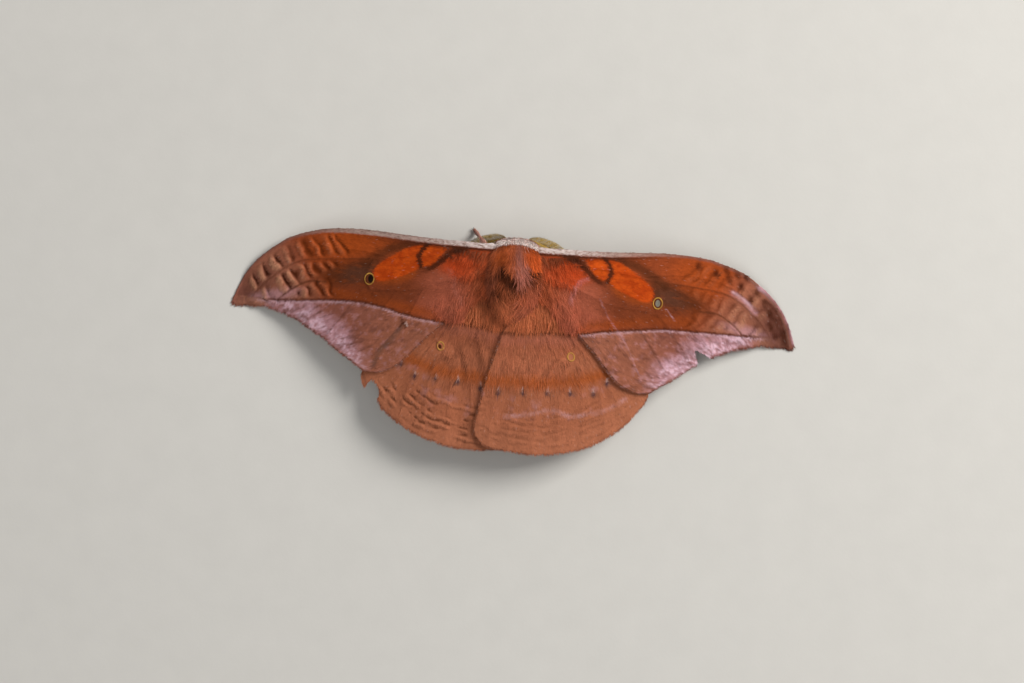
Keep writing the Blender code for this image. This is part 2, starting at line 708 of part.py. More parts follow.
def collar_locks(rng):
    """A row of short locks that stand back from the collar over the thorax."""
    locks = []
    for k, across in enumerate(np.linspace(-COLLAR_ROW_SPREAD, COLLAR_ROW_SPREAD, COLLAR_LOCKS)):
        turn = (COLLAR_SPLAY * across / COLLAR_ROW_SPREAD
                + rng.uniform(-COLLAR_TURN_SPREAD, COLLAR_TURN_SPREAD))
        locks.append(fur_lock(f"collar_{k}", (across, COLLAR_ROW_ALONG), turn,
                              COLLAR_LOCK_LENGTH * rng.uniform(*COLLAR_LENGTH_RANGE),
                              COLLAR_LOCK_WIDTH, collar_bed,
                              LOCK_LIFT * rng.uniform(*COLLAR_LIFT_RANGE)))
    return locks


def make_collar_and_thorax(materials):
    """The collar is the front slice of the trunk, parted from the thorax by a thin cut."""
    rng = random.Random(SEED)
    collar = body_piece("collar", TRUNK, TRUNK_RINGS, materials["grey_fur"])
    apply_boolean(collar, "DIFFERENCE",
                  [slab("collar_cut", COLLAR_ENDS_ALONG + SLAB_SIZE / 2, SLAB_SIZE)])
    apply_boolean(collar, "UNION", collar_locks(rng))
    thorax = body_piece("thorax", TRUNK, TRUNK_RINGS, materials["rufous_fur"])
    apply_boolean(thorax, "DIFFERENCE",
                  [slab("thorax_cut", COLLAR_ENDS_ALONG + GAP - SLAB_SIZE / 2, SLAB_SIZE)])
    apply_boolean(thorax, "UNION", back_locks(rng))
    for obj in (collar, thorax):
        shade_round(obj)


def segment_groove(index):
    """Scale of the abdomen's rings: every second ring is a groove between two segments."""
    return SEGMENT_GROOVE if index % 2 == 0 else 1.0


def tuft_lock(name, root, tip, face, width):
    """A flat tapered lock from a root inside the body to its tip, bent a little outwards.

    face is the way its flat side looks.
    """
    root, tip, face = np.array(root), np.array(tip), np.array(face)
    side = np.cross(tip - root, face)
    side /= np.linalg.norm(side)
    rings = []
    for share, wide in zip(LOCK_SHARES, LOCK_WIDTHS):
        middle = root + (tip - root) * share + face * TUFT_BEND * math.sin(math.pi * share)
        thick = LOCK_THICKNESS / 2 * (1 - TUFT_THINNING * share)
        rings.append([place(*(middle + side * width * wide / 2 * out + face * thick * up))
                      for out, up in ((-1, -1), (1, -1), (1, 1), (-1, 1))])
    return closed_lock(name, rings, place(*tip))


def tail_locks(rng):
    """The tuft round the end of the abdomen."""
    locks = []
    for k in range(TAIL_LOCKS):
        angle = 2 * math.pi * (k + 0.5) / TAIL_LOCKS
        out = np.array((math.cos(angle), 0.0, math.sin(angle)))
        root = np.array((0.0, TAIL_ROOT_ALONG, TAIL_HEIGHT)) + out * TAIL_ROOT_RADIUS
        tip = np.array((0.0, TAIL_TIP_ALONG + rng.uniform(*TAIL_TIP_RANGE), TAIL_HEIGHT))
        locks.append(tuft_lock(f"tail_{k}", root, tip + out * TAIL_TIP_RADIUS, out,
                               TAIL_LOCK_WIDTH))
    return locks


def brow_locks(rng):
    """Locks that hang forwards over the face, between the antennae and down each side."""
    locks = []
    for k, turn in enumerate(np.radians(np.linspace(-BROW_TURN, BROW_TURN, BROW_LOCKS))):
        out = np.array((math.sin(turn), -math.cos(turn), 0.0))
        root = np.array(BROW_MIDDLE) + out * BROW_ROOT_RADIUS
        tip = np.array(BROW_MIDDLE) + out * BROW_TIP_RADIUS
        tip[2] -= BROW_DROP * rng.uniform(*BROW_DROP_RANGE)
        face = BROW_FACE_SLOPE * (out + np.array((0.0, 0.0, 1.0)))
        locks.append(tuft_lock(f"brow_{k}", root, tip, face, BROW_LOCK_WIDTH))
    return locks


def make_abdomen(materials):
    """The abdomen, ringed by its segments, from behind the thorax to a tuft at its end."""
    rng = random.Random(SEED)
    abdomen = body_piece("abdomen", ABDOMEN, 2 * ABDOMEN_SEGMENTS + 1,
                         materials["rufous_fur"], groove=segment_groove)
    apply_boolean(abdomen, "UNION", tail_locks(rng))
    apply_boolean(abdomen, "DIFFERENCE", [trunk_clearance()])
    shade_round(abdomen)


def make_head(materials):
    """The head with its palps, tucked under the collar, and an eye on each side."""
    fur, dark = materials["rufous_fur"], materials["dark_eye"]
    head = body_piece("head", HEAD, HEAD_RINGS, fur)
    palps = [limb(f"palp_{name}", PALP_POINTS, PALP_RADII, side, PALP_SIDES, fur)
             for name, side in SIDES.items()]
    apply_boolean(head, "UNION", [*palps, *brow_locks(random.Random(SEED))])
    room = [eye_ball("eye_room", EYE_RADIUS + GAP, side, None) for side in SIDES.values()]
    apply_boolean(head, "DIFFERENCE", [trunk_clearance(), *room])
    shade_round(head)
    for name, side in SIDES.items():
        eye_ball("eye_" + name, EYE_RADIUS, side, dark)


def comb_tooth(name, side, spot, ahead, forward, length, material):
    """One tapered tooth of the antenna's comb, from within the shaft outwards."""
    out = np.array([-ahead[1], ahead[0]]) * (-1 if forward else 1)
    direction = out + np.array(ahead[:2]) * COMB_SWEEP
    direction /= np.linalg.norm(direction)
    points, radii = [], []
    for share in (0.0, 0.5, 1.0):
        reach = direction * length * share
        drop = COMB_DROP * length / COMB_LENGTH * share
        radius = TOOTH_RADIUS + (TOOTH_TIP_RADIUS - TOOTH_RADIUS) * share
        height = max(spot[2] - drop, radius + TOOTH_CLEARS_SURFACE)
        points.append((spot[0] + reach[0], spot[1] + reach[1], height))
        radii.append(radius)
    return limb(name, points, radii, side, TOOTH_SIDES, material)


def make_antenna(name, side, materials, head_room):
    """The shaft of an antenna with a comb of teeth on both sides, longest at its middle."""
    material = materials["olive_comb"]
    shaft_points = sample_line(ANTENNA_POINTS, ANTENNA_RINGS)
    shaft_radii = spread_radii(ANTENNA_RADII, ANTENNA_RINGS)
    antenna = limb(name, shaft_points, shaft_radii, side, ANTENNA_SIDES, material)
    fine = sample_line(ANTENNA_POINTS, ANTENNA_READINGS)
    last = ANTENNA_READINGS - 1
    teeth = []
    for i, share in enumerate(np.linspace(COMB_FROM, COMB_TO, COMB_TEETH)):
        index = round(share * last)
        ahead = fine[min(index + 1, last)] - fine[index - 1]
        ahead = ahead[:2] / np.linalg.norm(ahead[:2])
        along_comb = (share - COMB_FROM) / (COMB_TO - COMB_FROM)
        swell = math.sin(math.pi * (COMB_SWELL_FROM + COMB_SWELL_SPAN * along_comb))
        length = COMB_LENGTH * (COMB_SHORTEST + (1 - COMB_SHORTEST) * swell)
        for forward in (True, False):
            teeth.append(comb_tooth(f"{name}_tooth_{i}_{forward}", side, fine[index], ahead,
                                    forward, length, material))
    apply_boolean(antenna, "UNION", teeth)
    apply_boolean(antenna, "DIFFERENCE", [head_room])
    shade_round(antenna)


def make_antennae(materials):
    """Both antennae, which start at the head's surface."""
    for name, side in SIDES.items():
        room = body_piece("head_room", HEAD, HEAD_RINGS, None, grow=GAP)
        make_antenna("antenna_" + name, side, materials, room)


def make_legs(materials):
    """Six legs, whose toes lie on the surface."""
    for name, (side, points) in LEGS.items():
        line = sample_line(points, LEG_POINTS)
        leg = limb(name, line, spread_radii(LEG_RADII, LEG_POINTS), side, LEG_SIDES,
                   materials["pink_leg"])
        apply_boolean(leg, "DIFFERENCE", [trunk_clearance()])
        shade_round(leg)


def line_corners(points):
    """Straight pieces between points, so that each of them stays a sharp corner."""
    return [[a, b] for a, b in zip(points, points[1:])]


def make_wings(materials):
    """Four wings, each cut back to the side of the trunk. Two of them are torn at the edge."""
    whole = [FORE_COSTA, [FORE_COSTA[-1], *FORE_MARGIN, *FORE_MARGIN_WHOLE, FORE_REAR[0]],
             FORE_REAR, [FORE_REAR[-1], FORE_COSTA[0]]]
    torn = [FORE_COSTA, [FORE_COSTA[-1], *FORE_MARGIN], *line_corners(
        [FORE_MARGIN[-1], *FORE_MARGIN_TORN]), [FORE_MARGIN_TORN[-1], FORE_REAR[0]],
        FORE_REAR, [FORE_REAR[-1], FORE_COSTA[0]]]
    hind_whole = [[*HIND_COSTA, HIND_CORNER_WHOLE[0]],
                  [*HIND_CORNER_WHOLE, *HIND_MARGIN], [HIND_MARGIN[-1], HIND_COSTA[0]]]
    hind_torn = [[*HIND_COSTA, HIND_CORNER_TORN[0]], *line_corners(HIND_CORNER_TORN),
                 [HIND_CORNER_TORN[-1], *HIND_MARGIN], [HIND_MARGIN[-1], HIND_COSTA[0]]]
    red, ochre = materials["rufous_wing"], materials["ochre_wing"]
    wings = [
        wing("forewing_left", LEFT, whole, FORE_VEINS, forewing_height, red),
        wing("forewing_right", RIGHT, torn, FORE_VEINS, forewing_height, red),
        wing("hindwing_left", LEFT, hind_torn, HIND_VEINS, left_hindwing_height, ochre),
        wing("hindwing_right", RIGHT, hind_whole, HIND_VEINS, right_hindwing_height, ochre),
    ]
    for obj in wings:
        apply_boolean(obj, "DIFFERENCE", [trunk_clearance()])
        shade_round(obj, WING_CREASE)


def main():
    """Builds the whole animal."""
    clear_scene()
    materials = make_materials()
    make_collar_and_thorax(materials)
    make_abdomen(materials)
    make_head(materials)
    make_antennae(materials)
    make_legs(materials)
    make_wings(materials)


main()
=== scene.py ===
import logging
import math
from abc import ABC, abstractmethod
from dataclasses import dataclass, field, replace
from enum import Enum
from functools import cached_property

import bpy
import numpy as np
from mathutils import Matrix


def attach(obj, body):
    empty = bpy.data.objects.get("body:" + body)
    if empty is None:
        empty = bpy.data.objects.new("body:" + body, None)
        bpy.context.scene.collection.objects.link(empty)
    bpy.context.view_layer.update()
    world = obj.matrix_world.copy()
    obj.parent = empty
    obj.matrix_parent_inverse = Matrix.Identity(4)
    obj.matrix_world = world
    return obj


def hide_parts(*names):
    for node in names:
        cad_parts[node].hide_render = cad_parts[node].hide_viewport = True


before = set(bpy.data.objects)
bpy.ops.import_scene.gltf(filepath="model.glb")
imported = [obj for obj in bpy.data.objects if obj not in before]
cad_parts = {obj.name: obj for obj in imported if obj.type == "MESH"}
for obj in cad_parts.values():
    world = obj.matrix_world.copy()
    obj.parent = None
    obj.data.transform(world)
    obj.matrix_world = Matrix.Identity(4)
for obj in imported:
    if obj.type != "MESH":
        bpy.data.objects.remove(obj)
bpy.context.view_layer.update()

BODY = "root"
MM = 0.001
MIDDLE_ALONG = 17.6
FLOOR_GAP = 0.01
SEED = 11
PAINT = "Paint"
# One source of random numbers for every coat, so that each run grows the same moth.
DICE = np.random.default_rng(SEED)
log = logging.getLogger("moth")

Array = np.ndarray
Points = tuple[tuple[float, ...], ...]


class Side(Enum):
    """The animal's left and right, as the sign of X."""

    LEFT = 1
    RIGHT = -1

    @property
    def word(self) -> str:
        """The side's name in piece names."""
        return self.name.lower()


class Tone(Enum):
    """Paints of the animal and of the floor under it, as sRGB hex values."""

    FROST = "#D2C3BC"
    FROST_BAND = "#A1877C"
    FROST_SHADE = "#6A554A"
    COSTA_LINE = "#3A1B10"
    RUFOUS = "#823C22"
    BASE_RED = "#A63C17"
    PINK_RUFOUS = "#9A523D"
    ORANGE = "#A0380D"
    ORANGE_GLOW = "#B44712"
    BAR = "#431D0E"
    SMOKE = "#4C2614"
    SMOKE_GREY = "#523A2F"
    RUST = "#8A3C14"
    EMBER = "#9C4214"
    MEDIAL = "#66301A"
    TAN = "#AE795C"
    RIPPLE = "#361407"
    LILAC = "#B98F98"
    LILAC_PALE = "#D6B4BD"
    PINK_BROWN = "#804B3D"
    SALMON = "#8F5640"
    DUSK = "#5B352C"
    HIND = "#96583D"
    HIND_RED = "#93481F"
    HIND_PALE = "#9F6145"
    SPOT = "#3E2C33"
    TICK = "#CDB2AA"
    OCHRE = "#B0823A"
    PUPIL = "#140C08"
    GLASS_GREY = "#6F6A5E"
    FUR = "#A45230"
    FUR_ORANGE = "#BE5423"
    FUR_PINK = "#985C4E"
    FUR_DARK = "#4A1F10"
    FUR_WARM = "#B1623E"
    LEG_PINK = "#9E6A5A"
    LEG_PALE = "#C09A86"
    UNDER = "#9A6148"
    OLIVE = "#B29142"
    OLIVE_DARK = "#917432"
    EYE_DARK = "#241309"
    CLAW_HORN = "#2B1A12"
    FLOOR_GREY = "#C2BEB6"


def linear(code: str) -> Array:
    """Turns an sRGB hex colour into linear light."""
    value = np.array([int(code[i:i + 2], 16) for i in (1, 3, 5)]) / 255
    return np.where(value <= 0.04045, value / 12.92, ((value + 0.055) / 1.055) ** 2.4)


def to_metres(points: Array, side: Side = Side.LEFT) -> Array:
    """Turns (across, along, height) in millimetres into the scene's X, Y and Z.

    Args:
        points: One row for each point.
        side: The side that across is measured to.

    Returns:
        The same points in metres.
    """
    placed = np.array(points, float)
    placed[..., 0] *= side.value
    placed[..., 1] -= MIDDLE_ALONG
    return placed * MM


def ramp(low: float | Array, high: float | Array, x: Array) -> Array:
    """Rises from 0 at low to 1 at high with level ends: 3 s^2 - 2 s^3 of the share s."""
    s = np.clip((x - low) / (high - low), 0, 1)
    return s * s * (3 - 2 * s)


def smooth_path(points: Points | Array, count: int) -> Array:
    """Draws a smooth line through points.

    Each span is the cubic whose slope at a point is half the step between its two neighbours,
    and the result is spaced evenly by length.

    Args:
        points: The points that the line goes through.
        count: How many points to return.

    Returns:
        An array of count rows.
    """
    knots = np.asarray(points, float)
    ends = np.vstack([2 * knots[0] - knots[1], knots, 2 * knots[-1] - knots[-2]])
    spans = len(knots) - 1
    u = np.linspace(0, spans, spans * 24 + 1)
    i = np.minimum(u.astype(int), spans - 1)
    f = (u - i)[:, None]
    before, start, stop, after = ends[i], ends[i + 1], ends[i + 2], ends[i + 3]
    fine = 0.5 * (2 * start + (stop - before) * f
                  + (2 * before - 5 * start + 4 * stop - after) * f ** 2
                  + (3 * start - before - 3 * stop + after) * f ** 3)
    return even_steps(fine, count)


def even_steps(line: Array, count: int) -> Array:
    """Spaces points evenly by length along a line of short steps.

    Args:
        line: The line's points.
        count: How many points to return.

    Returns:
        An array of count rows.
    """
    steps = np.linalg.norm(np.diff(line, axis=0), axis=1)
    length = np.concatenate([[0], np.cumsum(steps)])
    at = np.linspace(0, length[-1], count)
    return np.column_stack([np.interp(at, length, line[:, k]) for k in range(line.shape[1])])


def line_distance(across: Array, along: Array, line: Array) -> tuple[Array, Array]:
    """Finds how far points are from a line of short straight steps.

    Args:
        across: Across of each point.
        along: Along of each point.
        line: The line's points, in (across, along).

    Returns:
        The distance of each point, and the share of the line's steps passed at its nearest place.
    """
    nearest = np.full(across.shape, np.inf)
    share = np.zeros(across.shape)
    for k, (start, step) in enumerate(zip(line[:-1], np.diff(line, axis=0))):
        dx, dy = across - start[0], along - start[1]
        f = np.clip((dx * step[0] + dy * step[1]) / max(step @ step, 1e-12), 0, 1)
        distance = np.hypot(dx - f * step[0], dy - f * step[1])
        closer = distance < nearest
        nearest = np.where(closer, distance, nearest)
        share = np.where(closer, (k + f) / (len(line) - 1), share)
    return nearest, share


def path_distance(across: Array, along: Array, points: Points, count: int = 80) -> Array:
    """Finds how far places are from the smooth line through some points, as count steps."""
    return line_distance(across, along, smooth_path(points, count))[0]


def depth_inside(across: Array, along: Array, outline: Points) -> Array:
    """Measures how deep points lie inside a closed outline.

    The sign comes from counting how often a level ray from the point crosses the outline.

    Args:
        across: Across of each point.
        along: Along of each point.
        outline: Points that the outline goes through, the first one once.

    Returns:
        The distance of each point from the outline, negative outside it.
    """
    loop = smooth_path(tuple(outline) + (outline[0],), 6 * len(outline))
    distance, _ = line_distance(across, along, loop)
    crossings = np.zeros(across.shape, int)
    for (x0, y0), (x1, y1) in zip(loop[:-1], loop[1:]):
        if y0 == y1:
            continue
        between = (y0 > along) != (y1 > along)
        crossings += between & (across < x0 + (along - y0) * (x1 - x0) / (y1 - y0))
    return np.where(crossings % 2 == 1, distance, -distance)


def layered_noise(x: Array, y: Array, size: float, seed: int, layers: int = 3) -> Array:
    """Gives smooth random values from -1 to 1.

    Random numbers on a square lattice are joined by smooth steps, and lattices twice as fine
    and half as strong are added.

    Args:
        x: First coordinate of each point.
        y: Second coordinate of each point.
        size: Width of the widest lattice's squares.
        seed: Seed of the random numbers.
        layers: How many lattices are added.

    Returns:
        One value for each point.
    """
    table = np.random.default_rng(seed).uniform(-1, 1, (64, 64))
    total = np.zeros(np.shape(x))
    for layer in range(layers):
        u = x / size * 2 ** layer + 17.3 * layer
        v = y / size * 2 ** layer + 5.1 * layer
        i, j = np.floor(u).astype(int), np.floor(v).astype(int)
        fu, fv = ramp(0, 1, u - i), ramp(0, 1, v - j)
        low = table[i % 64, j % 64] * (1 - fu) + table[(i + 1) % 64, j % 64] * fu
        high = table[i % 64, (j + 1) % 64] * (1 - fu) + table[(i + 1) % 64, (j + 1) % 64] * fu
        total += (low * (1 - fv) + high * fv) / 2 ** layer
    return total / (2 - 2 ** (1 - layers))


def unit(vectors: Array) -> Array:
    """Scales each vector to length 1."""
    return vectors / np.maximum(np.linalg.norm(vectors, axis=-1, keepdims=True), 1e-9)


def four_sided(root: Array, margin: Array, leading: Array, rear: Array) -> Array:
    """Fills four lines with a surface.

    It is the blend of the leading and rear lines, plus the blend of the root and margin lines,
    less the blend of the four corners.

    Args:
        root: Line from the leading to the rear line at the root, one point a column.
        margin: The same at the outer end.
        leading: Line from root to margin along the front, one point a row.
        rear: The same along the back.

    Returns:
        Points as rows from root to margin and columns from the leading to the rear line.
    """
    u = np.linspace(0, 1, len(leading))[:, None, None]
    v = np.linspace(0, 1, len(root))[None, :, None]
    lengthwise = (1 - v) * leading[:, None] + v * rear[:, None]
    crosswise = (1 - u) * root[None] + u * margin[None]
    corners = ((1 - u) * ((1 - v) * root[0] + v * root[-1])
               + u * ((1 - v) * margin[0] + v * margin[-1]))
    return lengthwise + crosswise - corners


def grid_faces(rows: int, columns: int, around: bool = False) -> Array:
    """Lists the four-sided faces of a grid of points numbered row by row.

    Args:
        rows: How many rows of points.
        columns: How many points in a row.
        around: Whether the last column joins the first.

    Returns:
        One row of four point numbers for each face.
    """
    i = np.arange(rows - 1)[:, None]
    j = np.arange(columns if around else columns - 1)[None, :]
    here, across = i * columns + j, i * columns + (j + 1) % columns
    return np.stack([here, here + columns, across + columns, across], axis=-1).reshape(-1, 4)


@dataclass
class Mould:
    """Gathers closed shapes, each with a paint and a map place at every point, into one mesh.

    Across is measured to its side, and the mesh is shaded smooth or in facets.
    """

    side: Side = Side.LEFT
    smooth: bool = True
    points: list[Array] = field(default_factory=list)
    paint: list[Array] = field(default_factory=list)
    places: list[Array] = field(default_factory=list)
    faces: list[Array] = field(default_factory=list)
    count: int = 0

    def add(self, points: Array, faces: list[Array], paint: Array,
            places: Array | None = None) -> None:
        """Adds one closed shape.

        Args:
            points: Points in millimetres, (n, 3).
            faces: Arrays of point numbers, three or four to a face.
            paint: Linear colour of each point, (n, 3), or one colour.
            places: Place of each point on a coat's map, (n, 2). No other piece needs it.
        """
        self.points.append(points.reshape(-1, 3))
        n = len(self.points[-1])
        self.paint.append(np.broadcast_to(paint, (n, 3)))
        self.places.append(np.reshape(np.zeros((n, 2)) if places is None else places, (n, 2)))
        self.faces += [f + self.count for f in faces]
        self.count += n

    def add_tube(self, rings: Array, paint: Array) -> None:
        """Adds a tube of rings, closed by a point at the middle of each end.

        Args:
            rings: Points, (rings, points a ring, 3).
            paint: Linear colour of each point or one colour.
        """
        rows, columns = rings.shape[:2]
        paint = np.broadcast_to(paint, rings.shape).reshape(-1, 3)
        j = np.arange(columns)
        after = (j + 1) % columns
        last, n = (rows - 1) * columns, rows * columns
        first_cap = np.stack([np.full(columns, n), j, after], axis=-1)
        last_cap = np.stack([np.full(columns, n + 1), last + after, last + j], axis=-1)
        self.add(np.vstack([rings.reshape(-1, 3), rings[0].mean(0), rings[-1].mean(0)]),
                 [grid_faces(rows, columns, around=True), first_cap, last_cap],
                 np.vstack([paint, paint[0], paint[-1]]))

    def piece(self, name: str, finish: "Finish", slot: str,
              coat: bool = False) -> bpy.types.Object:
        """Makes a piece of the animal.

        Args:
            name: The piece's name.
            finish: Its material.
            slot: Not used.
            coat: Whether it is a coat of tufts, which keeps its own map.

        Returns:
            The object, riding on the animal's body.
        """
        ob = self.mesh_object(name, finish, coat)
        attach(ob, BODY)
        return ob

    def mesh_object(self, name: str, finish: "Finish", coat: bool = False) -> bpy.types.Object:
        """Makes the mesh object with its finish.

        Args:
            name: The object's name.
            finish: Its material.
            coat: Whether it keeps its own map.

        Returns:
            The object, on no body yet.
        """
        points = to_metres(np.vstack(self.points), self.side)
        faces = [f[:, ::-1] for f in self.faces] if self.side is Side.RIGHT else self.faces
        mesh = bpy.data.meshes.new(name)
        corners = np.concatenate([f.reshape(-1) for f in faces]).astype(np.int32)
        sizes = np.concatenate([np.full(len(f), f.shape[1]) for f in faces])
        mesh.vertices.add(len(points))
        mesh.vertices.foreach_set("co", points.astype(np.float32).reshape(-1))
        mesh.loops.add(len(corners))
        mesh.loops.foreach_set("vertex_index", corners)
        mesh.polygons.add(len(sizes))
        starts = np.concatenate([[0], np.cumsum(sizes)[:-1]]).astype(np.int32)
        mesh.polygons.foreach_set("loop_start", starts)
        mesh.polygons.foreach_set("use_smooth", np.full(len(sizes), self.smooth))
        if coat:
            places = np.vstack(self.places)[corners]
            mesh.uv_layers.new(name="OFBake").uv.foreach_set(
                "vector", places.astype(np.float32).reshape(-1))
        paint = np.column_stack([np.clip(np.vstack(self.paint), 0, 1), np.ones(len(points))])
        mesh.color_attributes.new(name=PAINT, type="FLOAT_COLOR", domain="POINT").data.foreach_set(
            "color", paint.astype(np.float32).reshape(-1))
        mesh.update(calc_edges=True)
        mesh.materials.append(finish.material())
        ob = bpy.data.objects.new(name, mesh)
        bpy.context.collection.objects.link(ob)
        log.info("%s: %d triangles", name, int((sizes - 2).sum()))
        return ob


def add_node(tree: bpy.types.NodeTree, kind: str, feeds: dict | None = None,
             **settings: object) -> bpy.types.Node:
    """Adds one node.

    Args:
        tree: The node tree.
        kind: The node's type name.
        feeds: Socket name or number to a value, or to an output socket that is linked to it.
        settings: The node's own properties.

    Returns:
        The new node.
    """
    node = tree.nodes.new(kind)
    for key, value in settings.items():
        setattr(node, key, value)
    for key, value in (feeds or {}).items():
        if isinstance(value, bpy.types.NodeSocket):
            tree.links.new(value, node.inputs[key])
        else:
            node.inputs[key].default_value = value
    return node


@dataclass(frozen=True)
class Finish:
    """A painted surface with flecks, a fine relief and a soft sheen.

    The paint comes from the piece's own attribute. Flecks darken and lighten it, the relief is
    a bump, the glow tints gloss and sheen, and sizes are in millimetres.
    """

    name: str
    roughness: float = 0.75
    roughness_spread: float = 0.1
    ior: float = 1.5
    specular: float = 0.35
    sheen: float = 0.0
    sheen_roughness: float = 0.5
    glow: str = "#FFFFFF"
    coat: float = 0.0
    fleck_size: float = 0.3
    fleck_dark: float = 0.8
    fleck_light: float = 1.15
    relief_size: float = 0.14
    relief_depth: float = 0.02
    cells: bool = False

    def material(self) -> bpy.types.Material:
        """Makes the material once and gives the same one again after that.

        Returns:
            The material.
        """
        if self.name in bpy.data.materials:
            return bpy.data.materials[self.name]
        made = bpy.data.materials.new(self.name)
        made.use_nodes = True
        tree = made.node_tree
        tree.nodes.clear()
        place = add_node(tree, "ShaderNodeTexCoord").outputs["Object"]
        paint = add_node(tree, "ShaderNodeAttribute", attribute_name=PAINT).outputs["Color"]
        fleck = add_node(tree, "ShaderNodeTexNoise", {
            "Vector": place, "Scale": 1 / (self.fleck_size * MM), "Detail": 2.0,
            "Roughness": 0.6}).outputs["Fac"]
        shade = add_node(tree, "ShaderNodeMapRange", {
            "Value": fleck, "From Min": 0.3, "From Max": 0.7,
            "To Min": self.fleck_dark, "To Max": self.fleck_light}).outputs["Result"]
        colour = add_node(tree, "ShaderNodeMix", {
            0: 1.0, 6: paint, 7: shade}, data_type="RGBA", blend_type="MULTIPLY").outputs[2]
        rough = add_node(tree, "ShaderNodeMapRange", {
            "Value": fleck, "To Min": self.roughness - self.roughness_spread,
            "To Max": self.roughness + self.roughness_spread}).outputs["Result"]
        if self.cells:
            grain = add_node(tree, "ShaderNodeTexVoronoi", {
                "Vector": place, "Scale": 1 / (self.relief_size * MM)},
                feature="F1").outputs["Distance"]
        else:
            grain = add_node(tree, "ShaderNodeTexNoise", {
                "Vector": place, "Scale": 1 / (self.relief_size * MM),
                "Detail": 3.0}).outputs["Fac"]
        bump = add_node(tree, "ShaderNodeBump", {
            "Height": grain, "Strength": 1.0, "Distance": self.relief_depth * MM},
            invert=self.cells).outputs["Normal"]
        shader = add_node(tree, "ShaderNodeBsdfPrincipled", {
            "Base Color": colour, "Roughness": rough, "IOR": self.ior,
            "Specular IOR Level": self.specular, "Specular Tint": (*linear(self.glow), 1.0),
            "Sheen Weight": self.sheen, "Sheen Roughness": self.sheen_roughness,
            "Sheen Tint": (*linear(self.glow), 1.0), "Coat Weight": self.coat,
            "Coat Roughness": 0.05, "Normal": bump})
        add_node(tree, "ShaderNodeOutputMaterial", {"Surface": shader.outputs["BSDF"]})
        return made


# Wing scales are flat plates of chitin about 0.1 mm long, laid like shingles. Their ridges
# scatter the light, so the wing looks like dull velvet with a faint sheen at a low angle.
# The grain is drawn at 0.22 mm, twice its real size, or it wouldn't show.
WING_SCALES = Finish("chitin_wing_scales", roughness=0.8, sheen=0.04, specular=0.1,
                     glow="#E8A58C", fleck_size=0.35, fleck_dark=0.9, fleck_light=1.08,
                     relief_size=0.22, relief_depth=0.02)
# The scale tips that stand off the wing catch light one by one, drawn 0.5 mm long.
SCALE_TIPS = Finish("raised_chitin_scale_tips", roughness=0.78, sheen=0.04, specular=0.1,
                    glow="#E8A58C", fleck_size=0.8, fleck_dark=0.93, fleck_light=1.06,
                    relief_size=0.1, relief_depth=0.003)
# Body hair is drawn-out scales of chitin, soft and dull, with a weak silky sheen along it.
HAIR = Finish("long_chitin_hair", roughness=0.65, sheen=0.06, specular=0.16,
              glow="#F0C0A4", fleck_size=0.9, fleck_dark=0.88, fleck_light=1.1,
              relief_size=0.09, relief_depth=0.004)
# The skin under the fur is cuticle with a felt of short hairs, so it is dark and matt.
UNDERFUR = Finish("felted_cuticle", roughness=0.85, sheen=0.04, specular=0.1,
                  glow="#E8A58C", fleck_size=0.4, fleck_dark=0.6, fleck_light=1.15,
                  relief_size=0.18, relief_depth=0.08)
# Leg scales are short and lie close on smooth cuticle, a little shinier than the wings.
LEG_SCALES = Finish("close_leg_scales", roughness=0.62, sheen=0.06, specular=0.25,
                    fleck_size=0.2, fleck_dark=0.75, fleck_light=1.15,
                    relief_size=0.12, relief_depth=0.02)
# The feeler is bare horny cuticle, thin enough to look olive, with a dull waxy gloss.
HORN_OLIVE = Finish("olive_horny_cuticle", roughness=0.55, specular=0.25,
                    fleck_size=0.25, fleck_dark=0.8, fleck_light=1.15,
                    relief_size=0.06, relief_depth=0.006)
# Claws are hard tanned cuticle, dark and glossy.
HORN_DARK = Finish("tanned_horny_cuticle", roughness=0.3, roughness_spread=0.05, specular=0.5,
                   fleck_size=0.1, fleck_dark=0.8, fleck_light=1.1,
                   relief_size=0.05, relief_depth=0.003)
# The eye is a dome of clear lenses over dark pigment. They are 0.03 mm wide in life and drawn
# at 0.1 mm, so that the gloss breaks into facets.
EYE_LENSES = Finish("faceted_clear_cuticle", roughness=0.24, roughness_spread=0.04,
                    specular=0.5, coat=0.25, fleck_size=0.35, fleck_dark=0.7, fleck_light=1.2,
                    relief_size=0.1, relief_depth=0.02, cells=True)


@dataclass
class Roots:
    """Places on a skin where tufts grow: position, upright, lie of the coat and map place."""

    position: Array
    upright: Array
    lie: Array
    place: Array

    def keep(self, which: Array) -> "Roots":
        """Returns only the chosen roots."""
        return Roots(*(part[which] for part in (self.position, self.upright, self.lie,
                                                self.place)))

    def turned(self, angle: Array) -> "Roots":
        """Returns the roots with the lie turned about the upright by an angle for each."""
        beside, turn = np.cross(self.upright, self.lie), angle[:, None]
        return replace(self, lie=unit(self.lie * np.cos(turn) + beside * np.sin(turn)))

    def aimed(self, lean: Array, share: float, rise: float = 0.0) -> "Roots":
        """Returns the roots with the lie pulled towards a direction, kept flat on the skin.

        Args:
            lean: How far the direction turns outwards from straight back, in radians.
            share: How much of the lie it makes up.
            rise: How much the direction climbs.

        Returns:
            The turned roots.
        """
        towards = np.column_stack([np.sin(lean), np.cos(lean), rise + 0 * lean])
        lie = self.lie * (1 - share) + unit(towards) * share
        off = (lie * self.upright).sum(1, keepdims=True)
        return replace(self, lie=unit(lie - self.upright * off))


